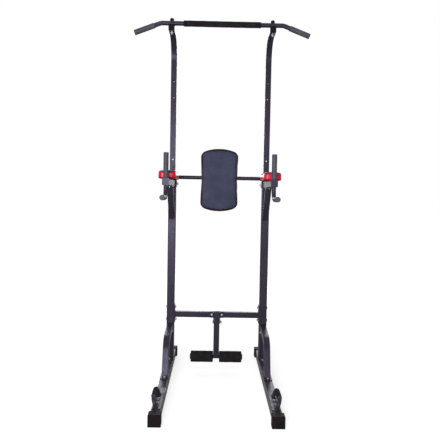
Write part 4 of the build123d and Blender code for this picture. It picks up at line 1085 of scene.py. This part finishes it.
def seen_directly(tree):
    """1 for camera, glossy and transmission rays, 0 for the rest."""
    path = tree.nodes.new("ShaderNodeLightPath")
    total = path.outputs["Is Camera Ray"]
    for name in ("Is Glossy Ray", "Is Transmission Ray"):
        add = tree.nodes.new("ShaderNodeMath")
        add.use_clamp = True
        tree.links.new(total, add.inputs[0])
        tree.links.new(path.outputs[name], add.inputs[1])
        total = add.outputs[0]
    return total


def floor_material(settings):
    """A pale matt floor that keeps shadows, lifted towards white where it is seen."""
    material = bpy.data.materials.new("studio_floor")
    material.use_nodes = True
    tree = material.node_tree
    bsdf = tree.nodes["Principled BSDF"]
    bsdf.inputs["Base Color"].default_value = (0.78, 0.78, 0.78, 1)
    bsdf.inputs["Roughness"].default_value = 1.0
    bsdf.inputs["Specular IOR Level"].default_value = 0.0
    bsdf.inputs["Emission Color"].default_value = (1, 1, 1, 1)
    distance = tree.nodes.new("ShaderNodeVectorMath")
    distance.operation = "LENGTH"
    tree.links.new(tree.nodes.new("ShaderNodeTexCoord").outputs["Object"], distance.inputs[0])
    white = tree.nodes.new("ShaderNodeMapRange")
    white.interpolation_type = "SMOOTHSTEP"
    tree.links.new(distance.outputs["Value"], white.inputs["Value"])
    white.inputs["From Min"].default_value = settings.floor_near
    white.inputs["From Max"].default_value = settings.floor_far
    white.inputs["To Min"].default_value = settings.floor_lift
    white.inputs["To Max"].default_value = 1.0
    lift = tree.nodes.new("ShaderNodeMath")
    lift.operation = "MULTIPLY"
    tree.links.new(white.outputs["Result"], lift.inputs[1])
    seen = tree.nodes.new("ShaderNodeLightPath").outputs["Is Camera Ray"]
    tree.links.new(seen, lift.inputs[0])
    tree.links.new(lift.outputs[0], bsdf.inputs["Emission Strength"])
    return material


class TOWER_PT_panel(bpy.types.Panel):
    """Lists the tower's steps and settings"""

    bl_idname = "TOWER_PT_panel"
    bl_label = "Power Tower"
    bl_space_type = "VIEW_3D"
    bl_region_type = "UI"
    bl_category = "Power Tower"

    def draw(self, context):
        for step in STEPS:
            self.layout.operator(step.bl_idname)
        for name, group in SETTINGS.items():
            box = self.layout.box()
            box.label(text=group.__doc__)
            for item in group.__annotations__:
                box.prop(getattr(context.scene, name), item)


SETTINGS = {
    "tower_finishes": TowerFinishes,
    "tower_cushions": TowerCushions,
    "tower_sleeves": TowerSleeves,
    "tower_details": TowerDetails,
    "tower_stage": TowerStage,
}
STEPS = (
    TOWER_OT_stage,
    TOWER_OT_finishes,
    TOWER_OT_backrest,
    TOWER_OT_arm_pads,
    TOWER_OT_foam,
    TOWER_OT_grips,
    TOWER_OT_welds,
    TOWER_OT_label,
)


def register():
    for group in (*SETTINGS.values(), *STEPS, TOWER_PT_panel):
        bpy.utils.register_class(group)
    for name, group in SETTINGS.items():
        setattr(bpy.types.Scene, name, PointerProperty(type=group))


def unregister():
    for name in SETTINGS:
        delattr(bpy.types.Scene, name)
    for group in reversed((*SETTINGS.values(), *STEPS, TOWER_PT_panel)):
        bpy.utils.unregister_class(group)


def main():
    register()
    bpy.ops.power_tower.stage()
    bpy.ops.power_tower.finishes()
    bpy.ops.power_tower.backrest()
    bpy.ops.power_tower.arm_pads()
    bpy.ops.power_tower.foam()
    bpy.ops.power_tower.grips()
    bpy.ops.power_tower.welds()
    bpy.ops.power_tower.label()


if __name__ == "__main__":
    main()
